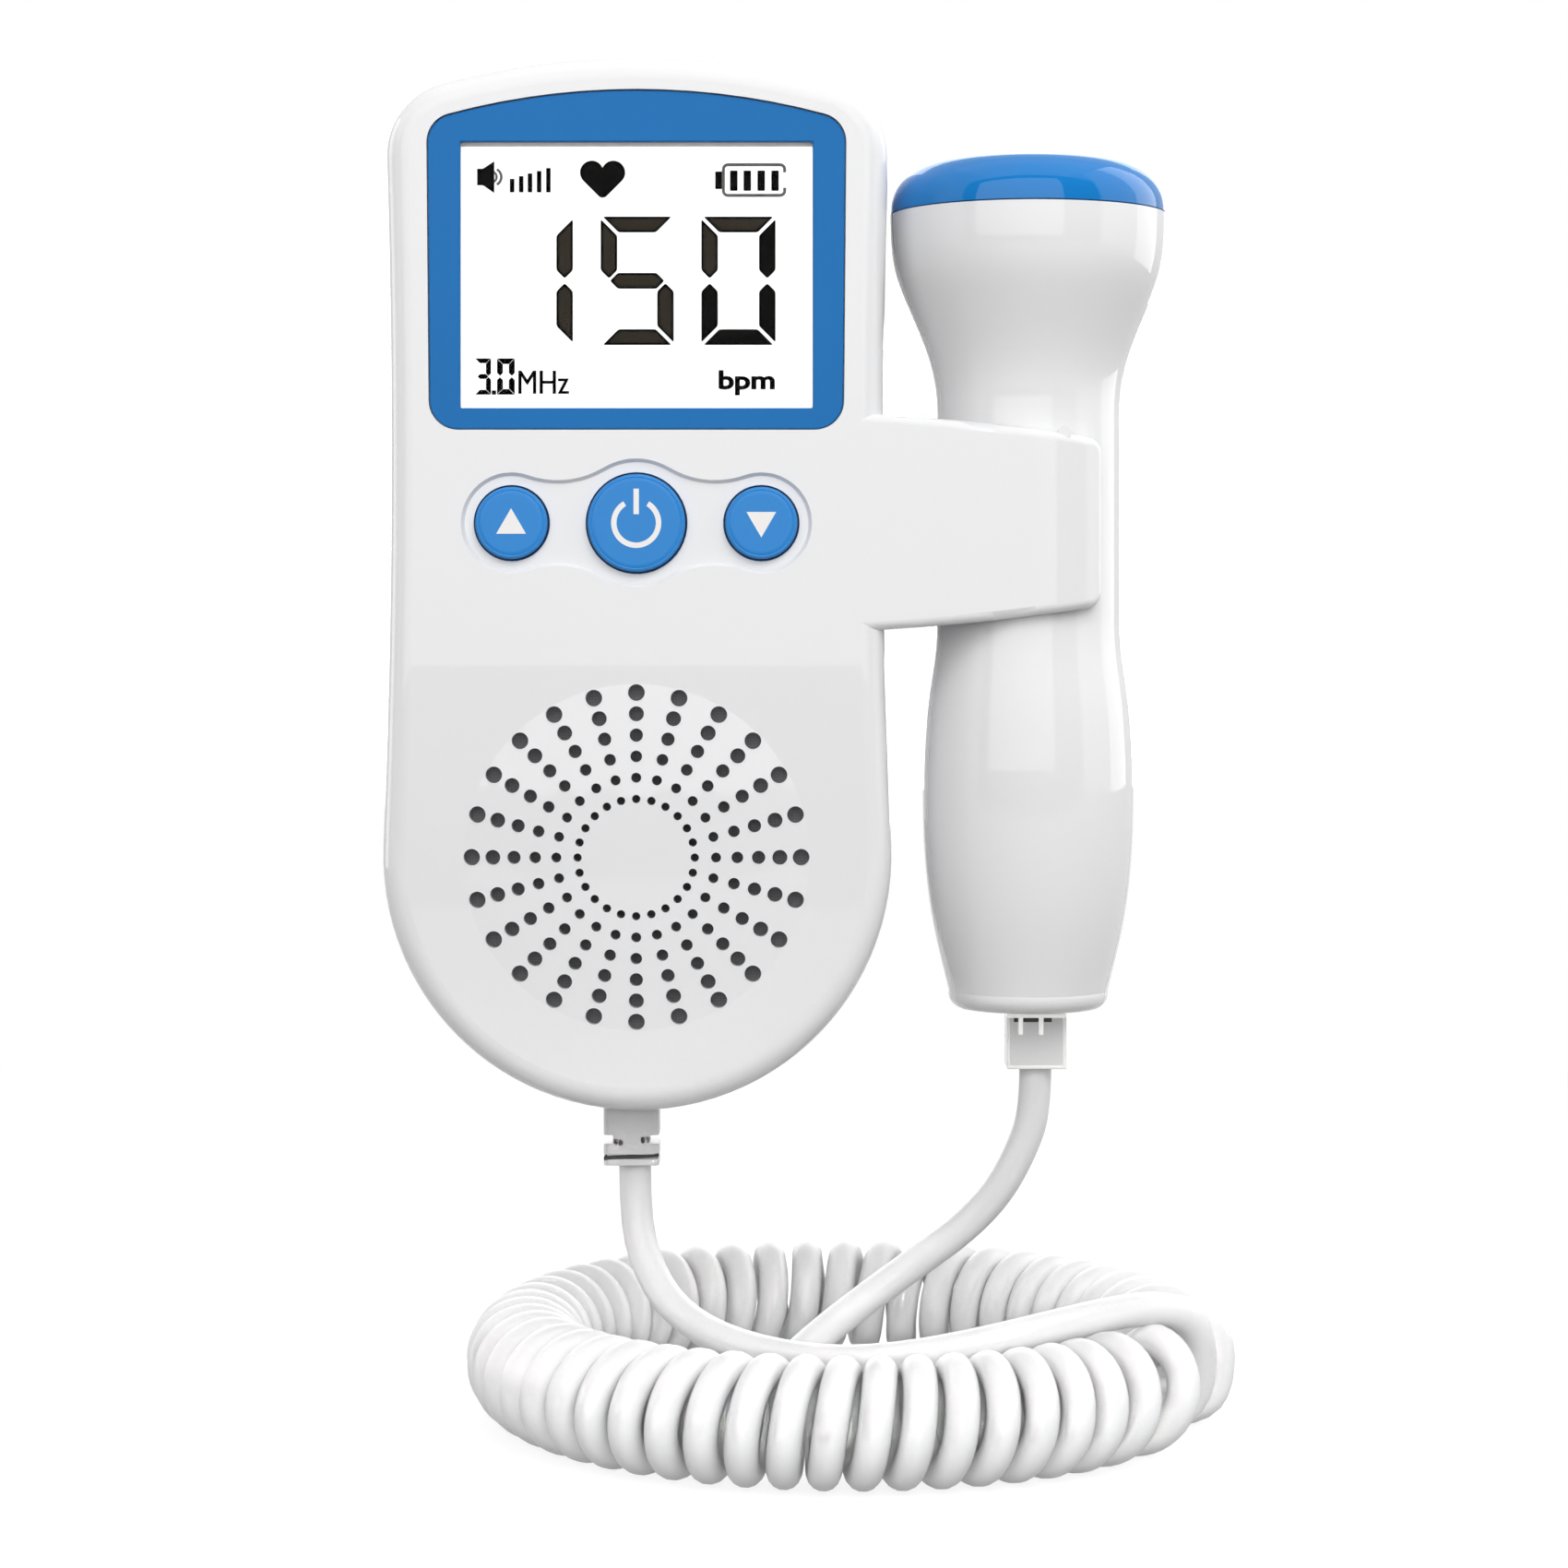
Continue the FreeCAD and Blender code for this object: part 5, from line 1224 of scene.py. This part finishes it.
# ---- speaker holes and screws ----
class DOPPLER_OT_repeats(bpy.types.Operator):
    """Rounds the lips of the speaker holes and sets the case screws, with Geometry Nodes"""
    bl_idname = "doppler.repeats"
    bl_label = "Hole lips and screws"

    def execute(self, context):
        sizes, colours = context.scene.doppler_sizes, context.scene.doppler_colours
        numbers = {
            "Rings": sizes.hole_rings, "Spokes": sizes.hole_spokes, "First Ring": sizes.first_ring,
            "Pitch": sizes.ring_pitch, "Small Hole": sizes.small_hole, "Large Hole": sizes.large_hole,
            "Dome Radius": sizes.dome_radius, "Dome Front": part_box("front_shell")[0].y,
            "Height": SPEAKER_Z}
        lip = mesh_from("lip", self.lip, 80)
        white = bpy.data.materials["abs_polished_white"]
        lips = run_tree("hole_lips", lip, self.lip_tree(numbers), numbers, white)
        finish_piece("hole_lips", lips, None, "monitor")

        # Steel wire, cold-headed and zinc-plated: a cool grey shine with fine draw marks.
        zinc = plated_metal("steel_zinc_plated", tuple(colours.screw), roughness=0.28, grain_mm=0.4)
        numbers = {
            "Upper Spread": sizes.upper_screws, "Lower Spread": sizes.lower_screws,
            "Upper Height": sizes.upper_screw_height, "Lower Height": sizes.lower_screw_height,
            "Seat": SCREW_SEAT_Y, "Seed": 5}
        screw = carved("screw", mesh_from("screw", self.screw, 40), mesh_from("recess", self.recess, 10))
        screws = run_tree("case_screw_set", screw, self.screw_tree(numbers), numbers, zinc)
        finish_piece("case_screw_set", screws, None, "monitor", ("case_screws",))
        return {"FINISHED"}

    def lip(self, work):
        """A lip round a hole of radius 1: outer foot, crest, inner wall and back."""
        foot = (1.15, -0.02)
        section = [foot, (1.09, 0.022), (1.03, 0.02), (0.995, -0.03), (0.995, -0.25), foot]
        turned(work, section, 18, Matrix.Identity(4))

    def lip_tree(self, numbers):
        """Copies on rings of equal spokes, on a shallow dome that faces -Y, larger from ring to ring."""
        tree, given = placing_tree("hole_lips", numbers)
        index = add_node(tree, "GeometryNodeInputIndex").outputs["Index"]
        share = add_node(tree, "ShaderNodeMath", {0: index, 1: given["Spokes"]}, operation="DIVIDE")
        ring = add_node(tree, "ShaderNodeMath", {0: share.outputs[0]}, operation="FLOOR")
        angle = add_node(tree, "ShaderNodeMath", {0: share.outputs[0], 1: TAU}, operation="MULTIPLY")
        reach = add_node(tree, "ShaderNodeMath", {
            0: ring.outputs[0], 1: given["Pitch"], 2: given["First Ring"]}, operation="MULTIPLY_ADD")
        across = add_node(tree, "ShaderNodeMath", {0: angle.outputs[0]}, operation="COSINE")
        across = add_node(tree, "ShaderNodeMath", {
            0: across.outputs[0], 1: reach.outputs[0]}, operation="MULTIPLY")
        rise = add_node(tree, "ShaderNodeMath", {0: angle.outputs[0]}, operation="SINE")
        rise = add_node(tree, "ShaderNodeMath", {
            0: rise.outputs[0], 1: reach.outputs[0]}, operation="MULTIPLY")
        height = add_node(tree, "ShaderNodeMath", {0: rise.outputs[0], 1: given["Height"]}, operation="ADD")
        fall = add_node(tree, "ShaderNodeMath", {
            0: reach.outputs[0], 1: reach.outputs[0]}, operation="MULTIPLY")
        fall = add_node(tree, "ShaderNodeMath", {
            0: fall.outputs[0], 1: given["Dome Radius"]}, operation="DIVIDE")
        depth = add_node(tree, "ShaderNodeMath", {
            0: fall.outputs[0], 1: 0.5, 2: given["Dome Front"]}, operation="MULTIPLY_ADD")
        inwards = add_node(tree, "ShaderNodeMath", {0: given["Dome Radius"], 1: -1.0}, operation="MULTIPLY")
        position = add_node(tree, "ShaderNodeCombineXYZ", {
            "X": across.outputs[0], "Y": depth.outputs[0], "Z": height.outputs[0]})
        outwards = add_node(tree, "ShaderNodeCombineXYZ", {
            "X": across.outputs[0], "Y": inwards.outputs[0], "Z": rise.outputs[0]})
        turn = add_node(tree, "FunctionNodeAlignRotationToVector", {
            "Vector": outwards.outputs[0]}, axis="Z")
        last = add_node(tree, "ShaderNodeMath", {0: given["Rings"], 1: 1.0}, operation="SUBTRACT")
        size = add_node(tree, "ShaderNodeMapRange", {
            "Value": ring.outputs[0], "From Max": last.outputs[0], "To Min": given["Small Hole"],
            "To Max": given["Large Hole"]})
        count = add_node(tree, "ShaderNodeMath", {
            0: given["Rings"], 1: given["Spokes"]}, operation="MULTIPLY")
        place_copies(tree, given, count.outputs[0], position.outputs[0], turn.outputs[0], size.outputs[0])
        return tree

    def screw_tree(self, numbers):
        """Two pairs of copies, mirrored in X, each turned at random about its own axis."""
        tree, given = placing_tree("case_screws", numbers)
        index = add_node(tree, "GeometryNodeInputIndex").outputs["Index"]
        odd = add_node(tree, "ShaderNodeMath", {0: index, 1: 2.0}, operation="MODULO")
        side = add_node(tree, "ShaderNodeMath", {
            0: odd.outputs[0], 1: 2.0, 2: -1.0}, operation="MULTIPLY_ADD")
        pair = add_node(tree, "ShaderNodeMath", {0: index, 1: 2.0}, operation="DIVIDE")
        pair = add_node(tree, "ShaderNodeMath", {0: pair.outputs[0]}, operation="FLOOR")
        spread = add_node(tree, "ShaderNodeMapRange", {
            "Value": pair.outputs[0], "To Min": given["Upper Spread"], "To Max": given["Lower Spread"]})
        height = add_node(tree, "ShaderNodeMapRange", {
            "Value": pair.outputs[0], "To Min": given["Upper Height"], "To Max": given["Lower Height"]})
        across = add_node(tree, "ShaderNodeMath", {
            0: side.outputs[0], 1: spread.outputs["Result"]}, operation="MULTIPLY")
        position = add_node(tree, "ShaderNodeCombineXYZ", {
            "X": across.outputs[0], "Y": given["Seat"], "Z": height.outputs["Result"]})
        chance = add_node(tree, "FunctionNodeRandomValue", {"Seed": given["Seed"]}, data_type="FLOAT")
        twist = add_node(tree, "ShaderNodeMath", {0: chance.outputs[1], 1: TAU}, operation="MULTIPLY")
        turn = add_node(tree, "ShaderNodeCombineXYZ", {"Y": twist.outputs[0]})
        place_copies(tree, given, 4, position.outputs[0], turn.outputs[0], (1, 1, 1))
        return tree

    def screw(self, work):
        """A pan-head screw, its head towards +Y and its top at zero."""
        head = [(0.0, 0.0), (1.1, -0.03), (1.75, -0.2), (2.12, -0.5), (2.25, -0.9), (2.25, -1.8)]
        shank = [(1.25, -1.8), (1.25, -25.6), (0.9, -26.0), (0.0, -26.0)]
        upright = Matrix.Rotation(math.radians(-90), 4, "X")
        turned(work, [(radius * MM, height * MM) for radius, height in head + shank], 32, upright)

    def recess(self, work):
        """The cross recess, narrower at its foot."""
        arm, half, taper = 1.6, 0.42, 0.6
        cross = [(half, half), (half, arm), (-half, arm), (-half, half), (-arm, half), (-arm, -half),
                 (-half, -half), (-half, -arm), (half, -arm), (half, -half), (arm, -half), (arm, half)]
        prism(work, [(x * MM, 0.2 * MM, z * MM) for x, z in cross],
              [(x * taper * MM, -1.1 * MM, z * taper * MM) for x, z in cross])


STEPS = (DOPPLER_OT_stage, DOPPLER_OT_lead, DOPPLER_OT_case, DOPPLER_OT_display, DOPPLER_OT_buttons,
         DOPPLER_OT_probe, DOPPLER_OT_repeats)


class DOPPLER_PT_panel(bpy.types.Panel):
    """Lists the steps and the sizes and colours they use"""
    bl_idname = "DOPPLER_PT_panel"
    bl_label = "Fetal Doppler"
    bl_space_type = "VIEW_3D"
    bl_region_type = "UI"
    bl_category = "Doppler"

    def draw(self, context):
        for group in (context.scene.doppler_sizes, context.scene.doppler_colours):
            for name in group.__annotations__:
                self.layout.prop(group, name)
        for step in STEPS:
            self.layout.operator(step.bl_idname)


CLASSES = (DopplerColours, DopplerSizes, *STEPS, DOPPLER_PT_panel)


def register():
    for cls in CLASSES:
        bpy.utils.register_class(cls)
    bpy.types.Scene.doppler_colours = PointerProperty(type=DopplerColours)
    bpy.types.Scene.doppler_sizes = PointerProperty(type=DopplerSizes)


def unregister():
    del bpy.types.Scene.doppler_sizes
    del bpy.types.Scene.doppler_colours
    for cls in reversed(CLASSES):
        bpy.utils.unregister_class(cls)


def main():
    register()
    for step in STEPS:
        group, name = step.bl_idname.split(".")
        getattr(getattr(bpy.ops, group), name)()


if __name__ == "__main__":
    main()
